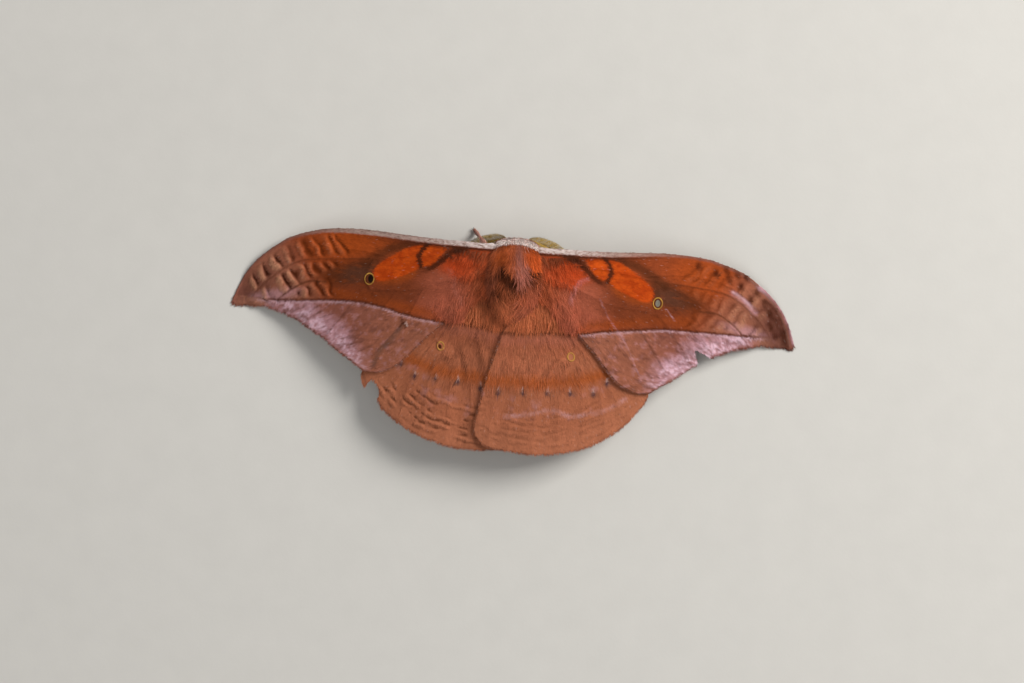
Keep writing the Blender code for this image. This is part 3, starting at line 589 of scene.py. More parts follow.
@dataclass
class Patch:
    """A skin known at a grid of points, rows along the lie of its coat and columns across it."""

    points: Array
    around: bool = False

    def slopes(self) -> tuple[Array, Array, Array]:
        """Finds the skin's directions from the steps between its points.

        Returns:
            The unit directions along rows, along columns and outwards at each point.
        """
        down = np.gradient(self.points, axis=0)
        if self.around:
            over = (np.roll(self.points, -1, axis=1) - np.roll(self.points, 1, axis=1)) / 2
        else:
            over = np.gradient(self.points, axis=1)
        return unit(down), unit(over), unit(np.cross(down, over))

    def scatter(self, count: int,
                density: Array | None = None) -> Roots:
        """Throws roots over the skin.

        A cell of the grid gets roots in the share of its area times the density, and each lies
        at a random place in its cell, between the cell's four corners.

        Args:
            count: How many roots.
            density: Weight at each grid point, or None for an even coat.

        Returns:
            The roots.
        """
        p = self.points
        if self.around:
            p = np.concatenate([p, p[:, :1]], axis=1)
        weight = np.ones(p.shape[:2]) if density is None else density
        if self.around and density is not None:
            weight = np.concatenate([density, density[:, :1]], axis=1)
        area = np.linalg.norm(np.cross(p[1:, :-1] - p[:-1, :-1], p[:-1, 1:] - p[:-1, :-1]), axis=-1)
        share = area * (weight[1:, :-1] + weight[:-1, 1:]).clip(0)
        cell = DICE.choice(share.size, count, p=(share / share.sum()).reshape(-1))
        i, j = np.unravel_index(cell, share.shape)
        fi, fj = DICE.random((2, count, 1))
        after = (j + 1) % self.points.shape[1]

        def blend(values: Array) -> Array:
            """Mixes the values at a cell's corners at the root's place in it."""
            return ((values[i, j] * (1 - fj) + values[i, after] * fj) * (1 - fi)
                    + (values[i + 1, j] * (1 - fj) + values[i + 1, after] * fj) * fi)

        down, _, out = self.slopes()
        place = np.column_stack([(i + fi[:, 0]) / (len(p) - 1), (j + fj[:, 0]) / (p.shape[1] - 1)])
        return Roots(blend(self.points), unit(blend(out)), unit(blend(down)), place)


@dataclass
class TuftStyle:
    """How a coat's tufts are shaped. Lengths are in millimetres and angles in degrees."""

    length: float
    width: float
    thickness: float = 0.4
    rings: tuple[float, ...] = (0.0, 0.35, 0.7)
    widths: tuple[float, ...] = (0.8, 1.0, 0.7)
    lift: float = 14.0
    lift_spread: float = 6.0
    flatten: float = 0.5
    curl: float = 0.15
    bend: float = 0.0
    length_spread: float = 0.25
    turn_spread: float = 10.0
    root_depth: float = 0.08
    shade_spread: float = 0.14
    # Paint at a tuft's root and at its tip against its middle: painted shade at the root, where
    # tufts lie over one another, and painted light on the exposed tip.
    root_painted_shade: float = 0.75
    tip_painted_light: float = 1.08
    patch: float = 0.003

    def grow(self, mould: Mould, roots: Roots, paint: Array,
             scale: Array | float = 1.0) -> None:
        """Adds a tapered tuft at each root.

        The middle line leaves the root at the lift angle and bends back to the skin: at share s
        it has gone s of the length along the lie, rises by sin(lift) s (1 - flatten s), and
        swings sideways by curl s squared. Each ring is a low triangle, and the tuft ends in a
        point.

        Args:
            mould: Where the tufts are gathered.
            roots: Where they grow.
            paint: Linear colour at each root, (n, 3).
            scale: Length of each tuft against the style's length.
        """
        n = len(roots.position)
        roots = roots.turned(np.radians(DICE.normal(0, self.turn_spread, n)))
        length = self.length * scale * np.exp(DICE.normal(0, self.length_spread, n)).clip(0.5, 1.6)
        lift = np.radians((self.lift + DICE.normal(0, self.lift_spread, n)).clip(1, 80))
        curl = DICE.normal(self.bend, self.curl, n)
        beside = np.cross(roots.upright, roots.lie)
        half = self.width / 2 * np.clip(length / self.length, 0.5, 1.2)
        shares = np.array(self.rings + (1.0,))

        def middle(s: float) -> Array:
            """The middle line's point at share s of each tuft."""
            rise = np.sin(lift) * s * (1 - self.flatten * s) * length - self.root_depth * (1 - s)
            return (roots.position + roots.lie * (np.cos(lift) * s * length)[:, None]
                    + roots.upright * rise[:, None] + beside * (curl * s * s * length)[:, None])

        rows = []
        for s, wide in zip(self.rings, self.widths):
            spot = middle(s)
            reach = (half * wide)[:, None] * beside
            ridge = (half * wide * self.thickness)[:, None] * roots.upright * 2
            rows += [spot - reach, spot + ridge, spot + reach]
        points = np.stack(rows + [middle(1.0)], axis=1)
        points[..., 2] = np.maximum(points[..., 2], FLOOR_GAP)
        k = len(self.rings)
        base = np.arange(n)[:, None, None] * (3 * k + 1)
        ring = 3 * np.arange(k - 1)[:, None]
        j = np.arange(3)[None, :]
        after = (j + 1) % 3
        walls = np.stack([ring + j, ring + j + 3, ring + after + 3, ring + after], axis=-1)
        tip = np.stack([3 * (k - 1) + j[0], np.full(3, 3 * k), 3 * (k - 1) + after[0]], axis=-1)
        faces = [(base + tip[None]).reshape(-1, 3),
                 (base + np.array([[0, 1, 2]])[None]).reshape(-1, 3)]
        if k > 1:
            faces.append((base + walls.reshape(1, -1, 4)).reshape(-1, 4))
        shade = np.exp(DICE.normal(0, self.shade_spread, n))
        # Each tuft is painted darker at its root and lighter at its tip: painted shade and painted
        # light along it.
        along = np.repeat(np.interp(shares, [0, 0.5, 1],
                                    [self.root_painted_shade, 1, self.tip_painted_light])[:-1], 3)
        along = np.append(along, self.tip_painted_light)
        colour = paint[:, None] * shade[:, None, None] * along[None, :, None]
        side_places = np.tile([0.0, 0.5, 1.0], k)
        local = np.column_stack([np.append(np.repeat(shares[:-1], 3), 1.0),
                                 np.append(side_places, 0.5)])
        places = 0.002 + roots.place[:, None] * (0.996 - self.patch) + local[None] * self.patch
        mould.add(points, faces, colour.reshape(-1, 3), places)


class Canvas:
    """Lays paints over one another at a set of points, each through a mask from 0 to 1."""

    def __init__(self, across: Array, along: Array, ground: Tone, seed: int = 0) -> None:
        """Covers the points with one paint.

        Args:
            across: Across of each point.
            along: Along of each point.
            ground: The paint.
            seed: The first of the seeds that the canvas's noises take.
        """
        self.across = np.asarray(across, float)
        self.along = np.asarray(along, float)
        self.colour = np.tile(linear(ground.value), self.across.shape + (1,))
        self.seed = seed

    def lay(self, tone: Tone, mask: Array) -> None:
        """Mixes a paint in by the mask."""
        self.colour += np.clip(mask, 0, 1)[..., None] * (linear(tone.value) - self.colour)

    def brush(self, tone: Tone, strength: Array | float, points: Points, half_width: float,
              soft: float) -> None:
        """Mixes a paint in along a line through points, with edges that fade over soft."""
        distance = path_distance(self.across, self.along, points, 40)
        self.lay(tone, strength * (1 - ramp(half_width - soft, half_width + soft, distance)))

    def oval(self, tone: Tone, strength: Array | float, centre: tuple[float, float],
             radii: tuple[float, float], turn: float = 0.0, soft: float = 0.4) -> None:
        """Mixes a paint in over a soft oval.

        Args:
            tone: The paint.
            strength: How much of it at each point, or everywhere.
            centre: The oval's middle.
            radii: Its half widths before it is turned.
            turn: How far it is turned, in degrees.
            soft: Share of the radii over which its edge fades.
        """
        c, s = math.cos(math.radians(turn)), math.sin(math.radians(turn))
        x, y = self.across - centre[0], self.along - centre[1]
        reach = np.hypot((x * c + y * s) / radii[0], (y * c - x * s) / radii[1])
        self.lay(tone, strength * (1 - ramp(1 - soft, 1 + soft, reach)))

    def area(self, outline: Points, soft: float) -> Array:
        """Masks the inside of a closed outline, with an edge that fades over the soft width."""
        return ramp(-soft, soft, depth_inside(self.across, self.along, outline))

    def behind(self, line: Points) -> Array:
        """Measures how far back from a line each point lies, negative in front of it."""
        x, y = np.array(sorted(line)).T
        return self.along - np.interp(self.across, x, y)

    def noise(self, size: float, number: int = 0, stretch: float = 1.0,
              layers: int = 3) -> Array:
        """Gives the smooth random values of a number, drawn out along the animal by stretch."""
        return layered_noise(self.across, self.along / stretch, size, self.seed + number, layers)


@dataclass(frozen=True)
class Tear:
    """A torn place in a wing's margin.

    The points replace the margin from share start to share stop of its length, and the
    surface is drawn back over the outer part of the wing to meet them.
    """

    start: float
    stop: float
    points: Points


@dataclass(frozen=True)
class Mark:
    """A brushed line on a wing: its paint and strength, half width and soft edge."""

    tone: Tone
    strength: float
    points: Points
    half_width: float
    soft: float = 0.2


@dataclass(frozen=True)
class Ocellus:
    """A clear window in a wing with a ring of ochre scales. Sizes in millimetres."""

    centre: tuple[float, float]
    radii: tuple[float, float] = (0.94, 1.14)
    turn: float = 0.0
    ring: float = 0.22
    pupil: tuple[float, float] = (0.0, 0.0)
    pupil_radii: tuple[float, float] = (0.45, 0.7)
    filling: Tone = Tone.SMOKE
    pupil_tone: Tone = Tone.PUPIL

    def clear(self, across: Array, along: Array) -> Array:
        """Masks what lies outside the window, by the distance in shares of its radii."""
        x, y = across - self.centre[0], along - self.centre[1]
        return ramp(0.98, 1.1, np.hypot(x / self.radii[0], y / self.radii[1]))


# The roof that the wings form over the body, as in the frame.
ROOT_ACROSS, TIP_ACROSS = 4.0, 50.0
ROOT_HEIGHT, TIP_FALL, FALL_POWER = 9.6, 9.5, 1.25
REAR_FALL_FROM, REAR_FALL_RATE = 8.0, 0.06


def roof_height(across: Array, along: Array) -> Array:
    """Gives the height of the wings' roof.

    It falls outwards as a power of the share of the span, and evenly towards the tail.

    Args:
        across: Across of each point.
        along: Along of each point.

    Returns:
        The height at each point.
    """
    out = np.maximum(0, np.abs(across) - ROOT_ACROSS) / (TIP_ACROSS - ROOT_ACROSS)
    back = np.maximum(0, along - REAR_FALL_FROM)
    return ROOT_HEIGHT - TIP_FALL * out ** FALL_POWER - REAR_FALL_RATE * back


# The dark line with a pale outer edge that crosses both wings.
LEFT_CROSS_LINE = ((-6.0, 16.2), (1.1, 16.0), (5.0, 15.4), (10.4, 15.05), (14.3, 14.95),
                   (16.6, 14.7), (19.3, 14.2), (22.4, 13.35), (26.7, 12.7), (29.8, 12.65),
                   (33.2, 12.8), (37.8, 13.2), (43.5, 13.6), (47.3, 13.3), (52.0, 12.9))
RIGHT_CROSS_LINE = ((-6.0, 16.2), (1.0, 16.1), (5.4, 15.6), (13.3, 15.2), (16.3, 14.6),
                    (20.1, 14.1), (23.9, 13.6), (27.7, 13.2), (35.4, 13.25), (43.1, 13.3),
                    (46.9, 13.1), (52.0, 12.6))
RADIAL_VEIN = ((4.5, 3.0), (12.0, 3.2), (19.0, 3.9), (25.0, 4.9), (32.0, 5.3), (38.7, 6.3),
               (43.7, 9.8), (46.6, 13.0))
MIDDLE_VEIN = ((25.0, 4.9), (29.5, 6.3), (36.3, 9.7), (39.5, 11.8), (42.5, 14.5))


@dataclass
class Wing(ABC):
    """A thin closed sheet between four lines, with veins, a torn margin and a coat of scales."""

    side: Side
    leading: Points
    rear: Points
    root: Points
    margin: Points
    veins: tuple[Points, ...]
    ocellus: Ocellus
    seed: int
    cross_line: Points
    tears: tuple[Tear, ...] = ()
    marks: tuple[Mark, ...] = ()
    longer: float = 0.0
    rows: int = 220
    columns: int = 130
    kind: str = "forewing"
    thickness: float = 0.16
    rim_share: float = 0.45
    vein_rise: float = 0.07
    vein_half: float = 0.2
    sag: float = 0.1
    ripple_rise: float = 0.1
    ragged: float = 0.16
    drawn_back_from: float = 0.84
    scale_tufts: int = 21000
    fringe_spacing: float = 0.055
    under_tone: Tone = Tone.UNDER

    @property
    def name(self) -> str:
        """The wing's node name."""
        return f"{self.kind}_{self.side.word}"

    def plan(self) -> Array:
        """Lays out the wing from above.

        The four lines are filled with a surface, whose outer end is drawn back to the torn
        margin and frayed by fine noise.

        Returns:
            Points (rows, columns, 2) in across and along.
        """
        leading = smooth_path(self.leading, self.rows)
        rear = smooth_path(self.rear, self.rows)
        margin = smooth_path(self.margin, self.columns)
        flat = four_sided(smooth_path(self.root, self.columns), margin, leading, rear)
        for line in (flat, margin):
            line[..., 0] += self.longer * ramp(34.0, 50.0, line[..., 0])
        target = margin.copy()
        v = np.linspace(0, 1, self.columns)
        for tear in self.tears:
            torn = even_steps(np.array(tear.points, float), 200)
            inside = (v > tear.start) & (v < tear.stop)
            at = (v[inside] - tear.start) / (tear.stop - tear.start) * 199
            target[inside] = np.column_stack(
                [np.interp(at, np.arange(200), torn[:, k]) for k in range(2)])
        inwards = unit(flat[-8] - flat[-1])
        fray = (layered_noise(v * 90, v * 0 + self.seed, 4.0, self.seed, 2)
                + 0.8 * layered_noise(v * 90, v * 0 + self.seed, 0.9, self.seed + 1, 2))
        target += inwards * (self.ragged * (fray + 0.6).clip(0))[:, None]
        u = np.linspace(0, 1, self.rows)
        draw = ((u - self.drawn_back_from) / (1 - self.drawn_back_from)).clip(0) ** 1.6
        return flat + draw[:, None, None] * (target - margin)[None]

    @abstractmethod
    def ripples(self, across: Array, along: Array) -> Array:
        """The ripple bars at each point, from -1, a dark hollow, to 1, a light swell."""

    def base_height(self, across: Array, along: Array) -> Array:
        """Height of the sheet's upper face before its relief."""
        return np.maximum(self.thickness + 0.03, roof_height(across, along))

    def relief(self, across: Array, along: Array) -> Array:
        """Adds the wing's relief.

        Veins are ridges that fall off as exp(-(d / half)^2) with the distance d. The membrane
        between them sags by 1 - exp(-(d / 1.1)^2), swells with the ripples, and is uneven.

        Args:
            across: Across of each point.
            along: Along of each point.

        Returns:
            What is added to the height at each point.
        """
        ridge = np.zeros(np.shape(across))
        nearest = np.full(np.shape(across), np.inf)
        for vein in self.veins:
            distance, share = line_distance(across, along, smooth_path(vein, 40))
            fade = ramp(0, 0.08, share) * (1 - 0.6 * ramp(0.8, 1, share))
            ridge = np.maximum(ridge, fade * np.exp(-(distance / self.vein_half) ** 2))
            nearest = np.minimum(nearest, distance)
        sagging = 1 - np.exp(-(nearest / 1.1) ** 2)
        uneven = layered_noise(across, along, 3.2, self.seed + 3, 3)
        return (self.vein_rise * ridge - self.sag * sagging + 0.05 * uneven
                + self.ripple_rise * self.ripples(across, along))

    def height(self, across: Array, along: Array) -> Array:
        """Height of the sheet's upper face."""
        raised = self.base_height(across, along) + self.relief(across, along)
        return np.maximum(self.thickness + 0.02, raised)

    @abstractmethod
    def paint(self, across: Array, along: Array) -> Array:
        """Linear colour of the upper face at each point."""

    def under_paint(self, across: Array, along: Array) -> Array:
        """Linear colour of the lower face: the same marks, duller and paler."""
        mixed = 0.55 * linear(self.under_tone.value) + 0.45 * self.paint(across, along)
        return mixed * (1 + 0.12 * layered_noise(across, along, 1.2, self.seed + 5))[..., None]

    @cached_property
    def top(self) -> Patch:
        """The sheet's upper face."""
        plan = self.plan()
        return Patch(np.dstack([plan, self.height(plan[..., 0], plan[..., 1])]))

    def build(self) -> None:
        """Makes the wing's sheet, its ocellus and its coat."""
        top = self.top.points
        across, along = top[..., 0], top[..., 1]
        edge = np.ones((self.rows, self.columns))
        edge[[0, -1]] = edge[:, [0, -1]] = self.rim_share
        bottom = top.copy()
        bottom[..., 2] -= self.thickness * edge
        sheet = Mould(self.side)
        n = self.rows * self.columns
        number = np.arange(n).reshape(self.rows, self.columns)
        rim = np.concatenate([number[0], number[1:, -1], number[-1, -2::-1], number[-2:0:-1, 0]])
        after = np.roll(rim, -1)
        walls = np.stack([rim, after, after + n, rim + n], axis=-1)
        skin = grid_faces(self.rows, self.columns)
        colour = np.concatenate([self.paint(across, along).reshape(-1, 3),
                                 self.under_paint(across, along).reshape(-1, 3)])
        sheet.add(np.concatenate([top.reshape(-1, 3), bottom.reshape(-1, 3)]),
                  [skin, skin[:, ::-1] + n, walls], colour)
        self.add_ocellus(sheet)
        piece = sheet.piece(self.name + "_scaled_membrane", WING_SCALES, self.slot())
        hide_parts(self.name)
        self.dress()

    def slot(self) -> str:
        """The record's material slot."""
        return f"{self.kind}_scales"

    def add_ocellus(self, sheet: Mould) -> None:
        """Adds the window as a low closed lens on the wing.

        Its points run in ovals of share r about the centre. The ring is a low roll of height
        sin(pi s) across its width, and the window inside it is a shallow dish.

        Args:
            sheet: Where it is added.
        """
        o = self.ocellus
        r = np.linspace(0.02, 1.0, 26)[:, None]
        phi = np.linspace(0, 2 * np.pi, 60, endpoint=False)[None, :]
        turn = math.radians(o.turn)
        x, y = r * o.radii[0] * np.cos(phi), r * o.radii[1] * np.sin(phi)
        across = o.centre[0] + x * math.cos(turn) - y * math.sin(turn)
        along = o.centre[1] + x * math.sin(turn) + y * math.cos(turn)
        inner = 1 - o.ring / min(o.radii)
        roll = np.sin(np.pi * ((r - inner) / (1 - inner)).clip(0, 1)) * np.ones_like(phi)
        height = self.height(across, along) + 0.05 + 0.06 * roll - 0.03 * (1 - r)
        height[-1] -= 0.12
        canvas = Canvas(across, along, o.filling)
        pupil = (o.centre[0] + o.pupil[0], o.centre[1] + o.pupil[1])
        canvas.oval(o.pupil_tone, 1.0, pupil, o.pupil_radii, o.turn, 0.15)
        worn = layered_noise(across, along, 0.5, self.seed + 9, 2)
        canvas.lay(Tone.OCHRE, ramp(inner - 0.04, inner + 0.04, r + 0 * phi) * (0.7 + 0.5 * worn))
        canvas.lay(Tone.BAR, 0.8 * ramp(0.93, 1.0, r + 0 * phi))
        lens = np.dstack([across, along, height])
        floor = np.dstack([across, along, self.height(across, along) - 0.07])[::-1]
        sheet.add_tube(np.concatenate([lens, floor]),
                       np.concatenate([canvas.colour, canvas.colour[::-1]]))

    def shown(self, across: Array, along: Array) -> Array:
        """Weight of the scale coat: none on the window, little deep under the fur."""
        return self.ocellus.clear(across, along) * (0.1 + 0.9 * ramp(2.5, 4.5, across))

    def dress(self) -> None:
        """Covers the wing with raised scale tips and fringes its edges."""
        coat = Mould(self.side, smooth=False)
        across, along = self.top.points[..., 0], self.top.points[..., 1]
        roots = self.top.scatter(self.scale_tufts, self.shown(across, along))
        paint = self.paint(roots.position[:, 0], roots.position[:, 1])
        fleck = DICE.random(len(paint))
        paint[fleck > 0.985] = 0.87 * paint[fleck > 0.985] + 0.13 * linear(Tone.FROST.value)
        paint[fleck < 0.05] *= 0.75
        SCALE_TIP.grow(coat, roots, paint)
        self.fringe(coat)
        coat.piece(self.name + "_scale_coat", SCALE_TIPS, self.slot(), coat=True)

    def fringe(self, coat: Mould) -> None:
        """Sets fine hair scales along the outer margin and the rear edge, pointing outwards.

        Args:
            coat: Where they are gathered.
        """
        down, over, out = self.top.slopes()
        first, second = np.eye(2)
        edges = ((self.top.points[-1], down[-1], out[-1], first, second),
                 (self.top.points[:, -1], over[:, -1], out[:, -1], second, first))
        for line, lie, upright, corner, run in edges:
            length = np.linalg.norm(np.diff(line, axis=0), axis=1).sum()
            at = DICE.uniform(0, len(line) - 1, int(length / self.fringe_spacing))
            low = at.astype(int).clip(0, len(line) - 2)
            f = (at - low)[:, None]

            def along_edge(values: Array) -> Array:
                """Mixes the values of the two nearest points of the edge."""
                return values[low] * (1 - f) + values[low + 1] * f

            spot = along_edge(line)
            spot[:, 2] -= 0.05
            roots = Roots(spot, unit(along_edge(upright)), unit(along_edge(lie)),
                          corner[None] + run[None] * (at / (len(line) - 1))[:, None])
            # The fringe is painted 15 per cent darker than the wing: painted shade along its edge.
            paint = self.paint(spot[:, 0], spot[:, 1]) * 0.85
            pale = DICE.random(len(paint)) > 0.85
            paint[pale] = 0.75 * paint[pale] + 0.25 * linear(Tone.FROST.value)
            FRINGE_HAIR.grow(coat, roots, paint)


SCALE_TIP = TuftStyle(length=0.5, width=0.17, rings=(0.0,), widths=(1.0,), thickness=0.12,
                      lift=5.0, lift_spread=2.5, turn_spread=9.0, root_depth=0.02,
                      length_spread=0.2, shade_spread=0.09, root_painted_shade=0.96, tip_painted_light=1.05)
FRINGE_HAIR = TuftStyle(length=0.42, width=0.07, rings=(0.0,), widths=(1.0,), lift=4.0,
                        lift_spread=8.0, turn_spread=16.0, root_depth=0.02,
                        shade_spread=0.15, root_painted_shade=0.9, tip_painted_light=1.1)
LONG_HAIR = TuftStyle(length=2.6, width=0.1, lift=7.0, lift_spread=3.5, flatten=0.75,
                      curl=0.12, turn_spread=7.0, length_spread=0.2, shade_spread=0.12,
                      root_painted_shade=1.0, tip_painted_light=1.45)
HIND_HAIR = TuftStyle(length=1.9, width=0.08, rings=(0.0, 0.5), widths=(0.8, 0.9), lift=4.0,
                      lift_spread=2.0, flatten=0.7, curl=0.06, turn_spread=5.0,
                      shade_spread=0.08, root_painted_shade=1.0, tip_painted_light=1.25)


@dataclass
class ForeWing(Wing):
    """A forewing: frosted front edge, orange patches, rippled tip and lilac margin."""

    ripple_strength: float = 1.0
    lilac_strength: float = 1.0
    ember: tuple[float, float, float] = (30.5, 2.6, 0.6)
    base_hairs: int = 6400
    # Gain of the root hair's paint. The right wing's is higher, as painted light on the side that
    # the light falls from.
    hair_painted_light: float = 1.05
    rust: float = 0.6
    frost_fade: tuple[float, float] = (26.0, 42.0)
    dusk: tuple[float, float, float] = (45.5, 49.5, 0.55)
    blotches: Points = ()
    front_rows: tuple[float, ...] = (27.8, 29.2, 31.4, 33.8, 36.5, 39.2, 42.0, 44.6)
    middle_rows: tuple[float, ...] = (30.2, 32.0, 33.8, 35.6, 37.7, 39.8, 43.4)
    rear_rows: tuple[float, ...] = (33.2, 35.2, 37.1, 39.0, 41.0)
    vein_marks: tuple[Points, ...] = (
        ((36.0, 9.8), (39.5, 11.8), (42.5, 14.5)), ((31.0, 12.6), (36.2, 16.6)),
        ((28.5, 13.4), (32.8, 19.2)), ((23.0, 13.8), (28.2, 20.8)), ((18.5, 15.2), (23.6, 21.7)))

    def ripples(self, across: Array, along: Array) -> Array:
        """Gives the ripple bars of the tip.

        Bars slant so that 0.84 across + 0.54 along is the same along each. A bar is dark as
        exp(-(x / 0.4)^2) about its place x, with a light swell 0.85 mm further out. There are
        three rows: in front of the radial vein, on to the middle vein, and on to the cross line.
        The bars are the wing's ripple marks, and in the paint they also give painted shade in
        each hollow and a painted highlight on each swell.

        Args:
            across: Across of each point.
            along: Along of each point.

        Returns:
            From -1, a dark hollow, to 1, a light swell.
        """
        phase = 0.842 * across + 0.54 * along + 0.65 * layered_noise(
            across, along, 1.9, self.seed + 20, 2)
        canvas = Canvas(across, along, Tone.RUFOUS)
        radial, middle = canvas.behind(RADIAL_VEIN), canvas.behind(MIDDLE_VEIN)
        cross = canvas.behind(self.cross_line)
        front = path_distance(across, along, self.leading)
        rows = ((self.front_rows, ramp(0.6, 1.9, front) * ramp(-0.1, -1.3, radial)),
                (self.middle_rows, ramp(0.1, 1.1, radial) * ramp(-0.1, -1.1, middle)),
                (self.rear_rows, ramp(0.1, 1.0, middle) * ramp(-0.2, -1.1, cross)))
        total = np.zeros(np.shape(across))
        for places, mask in rows:
            bars = sum(0.9 * np.exp(-((phase - x - 0.85) / 0.42) ** 2)
                       - np.exp(-((phase - x) / 0.4) ** 2) for x in places)
            total += mask * bars
        broken = 0.9 + 0.7 * layered_noise(across, along, 1.6, self.seed + 21, 2)
        outer = ramp(25.5, 28.5, phase)
        return (total * broken * outer * self.ripple_strength).clip(-1, 1)

    def paint(self, across: Array, along: Array) -> Array:
        """Paints the upper face.

        Args:
            across: Across of each point.
            along: Along of each point.

        Returns:
            Linear colour of each point.
        """
        c = Canvas(across, along, Tone.RUFOUS, self.seed)
        inner = 1 - ramp(-0.25, 0.25, c.behind(self.cross_line))
        front = path_distance(across, along, self.leading)
        edge = path_distance(across, along, self.margin)
        mottle, fine = c.noise(4.0), c.noise(0.7, 1)
        self.paint_ground(c, inner, mottle)
        self.paint_tip(c, inner)
        self.paint_rim(c, 1 - inner, edge, fine)
        start, full, strength = self.dusk
        c.lay(Tone.DUSK, strength * ramp(start, full, across))
        self.paint_patches(c, fine)
        self.paint_front(c, front)
        for x, y in self.blotches:
            c.oval(Tone.RIPPLE, 0.8 * (1 + 0.5 * fine), (x, y), (0.5, 0.8), -20, 0.8)
        for mark in self.marks:
            c.brush(mark.tone, mark.strength * (0.85 + 0.5 * fine), mark.points, mark.half_width,
                    mark.soft)
        grain = c.noise(0.35, 2, layers=2)
        return c.colour * np.exp(0.12 * fine + 0.06 * mottle + 0.07 * grain)[..., None]

    def paint_ground(self, c: Canvas, inner: Array, mottle: Array) -> None:
        """Paints the inner field: brown, redder at the root, smoky about the window.

        Args:
            c: The canvas.
            inner: Mask of what lies in front of the cross line.
            mottle: Broad noise.
        """
        c.oval(Tone.MEDIAL, 0.7 * inner, (25.0, 9.4), (12.0, 5.4), 6, 0.5)
        c.oval(Tone.RUST, self.rust * inner, (27.0, 1.8), (9.0, 2.6), 3, 0.5)
        c.lay(Tone.RUST, 0.4 * inner * ramp(27, 33, c.across) * (0.8 + 0.4 * mottle))
        c.oval(Tone.PINK_RUFOUS, 0.7, (11.5, 10.4), (5.4, 4.8), 20, 0.5)
        c.oval(Tone.BASE_RED, 0.9, (8.8, 4.2), (4.4, 1.9), 14, 0.4)
        c.brush(Tone.RUST, 0.6 * inner, ((12.0, 13.8), (18.0, 13.2), (24.0, 11.9), (31.0, 11.6)),
                0.8, 0.8)
        c.oval(Tone.SMOKE, 0.85, (28.8, 7.4), (5.6, 2.2), 12, 0.55)
        c.oval(Tone.SMOKE_GREY, 0.3, (27.8, 7.6), (2.8, 1.6), 20, 0.6)
        flecks = ramp(0.1, 0.6, layered_noise(c.across / 4, c.along, 0.3, self.seed + 8, 2))
        c.oval(Tone.RUST, 0.3 * flecks * inner, (27.0, 8.2), (8.0, 4.0), 10, 0.5)
        c.brush(Tone.SMOKE, 0.8, ((17.6, 1.9), (21.4, 2.5), (24.6, 4.2), (26.8, 5.7)), 0.8, 0.6)
        c.oval(Tone.MEDIAL, 0.5 * inner, (21.0, 10.4), (7.0, 1.8), 6, 0.5)

    def paint_tip(self, c: Canvas, inner: Array) -> None:
        """Paints the tip: tan with dark ripples, rust towards the window and dusky at the end.

        Args:
            c: The canvas.
            inner: Mask of what lies in front of the cross line.
        """
        place, height, strength = self.ember
        c.oval(Tone.EMBER, strength * inner, (place, height), (6.0, 3.0), 12, 0.6)
        outwards = ramp(33.0, 40.0, 0.842 * c.across + 0.54 * c.along)
        c.lay(Tone.PINK_BROWN, 0.7 * inner * outwards)
        c.lay(Tone.TAN, 0.25 * inner * outwards)
        c.oval(Tone.DUSK, 0.55, (45.6, 11.6), (4.6, 2.2), 56, 0.6)
        c.oval(Tone.LILAC, 0.4 * inner, (42.6, 12.6), (4.4, 1.0), 12, 0.7)
        # The dark bars are the wing's own ripple marks with painted shade in each hollow, and the
        # light swells are a painted highlight.
        swell = self.ripples(c.across, c.along)
        c.lay(Tone.EMBER, 0.75 * swell.clip(0) * (1 - outwards))
        c.lay(Tone.TAN, 0.9 * swell.clip(0) * (0.25 + 0.75 * outwards))
        c.lay(Tone.RIPPLE, 0.95 * (-swell).clip(0))
        c.lay(Tone.RUST, 0.4 * (-swell).clip(0) * (1 - outwards))
        c.oval(Tone.DUSK, 0.6, (49.4, 13.4), (2.4, 2.2), 10, 0.5)
        c.brush(Tone.SMOKE, 0.8, ((33.5, 9.6), (36.5, 9.7), (39.5, 11.3), (42.2, 13.6)), 0.14,
                0.16)
        c.brush(Tone.SMOKE, 0.5, RADIAL_VEIN[3:], 0.12, 0.12)

    def paint_rim(self, c: Canvas, outer: Array, edge: Array, fine: Array) -> None:
        """Paints the cross line and what lies behind it: lilac at the margin, salmon within.

        Args:
            c: The canvas.
            outer: Mask of what lies behind the cross line.
            edge: Distance from the outer margin.
            fine: Fine noise.
        """
        c.lay(Tone.PINK_BROWN, outer)
        c.lay(Tone.SALMON, 0.85 * outer * ramp(
            33.0, 19.0, c.across + 3.0 * c.noise(4.0, 6) - 0.35 * (c.along - 15)))
        cloud = 0.5 + 0.5 * c.noise(1.8, 7)
        near = ramp(0.0, 0.7, edge) * (1 - ramp(2.0, 5.2, edge + 2.0 * c.noise(2.4, 9)))
        lilac = (outer * near * ramp(23.5, 29.0, c.across)
                 * ramp(46.0, 39.0, c.across) * self.lilac_strength)
        specks = c.noise(0.4, 15, layers=2)
        c.lay(Tone.LILAC, 0.65 * lilac * (0.6 + 0.6 * cloud + 0.5 * specks))
        c.lay(Tone.LILAC_PALE, 0.6 * lilac * ramp(0.35, 0.95, cloud + 0.8 * specks)
              * (1 - ramp(1.6, 3.6, edge)))
        c.lay(Tone.TAN, 0.4 * outer * ramp(42.5, 46.0, c.across))
        c.lay(Tone.LILAC, 0.22 * outer * ramp(0.1, 0.6, fine))
        waves = layered_noise(c.across + 0.5 * c.along, 3.0 * (c.along - 0.35 * c.across), 1.5,
                              self.seed + 10, 2)
        c.lay(Tone.DUSK, 0.5 * outer * ramp(0.1, 0.6, waves))
        for vein in self.vein_marks:
            c.brush(Tone.DUSK, 0.6 * outer, vein, 0.08, 0.14)
        back = c.behind(self.cross_line)
        worn = 0.75 + 0.5 * c.noise(1.1, 14)
        c.lay(Tone.LILAC_PALE, 0.42 * worn * np.exp(-((back - 0.28) / 0.2) ** 2)
              * ramp(11.5, 14.0, c.across) * ramp(48.0, 44, c.across))
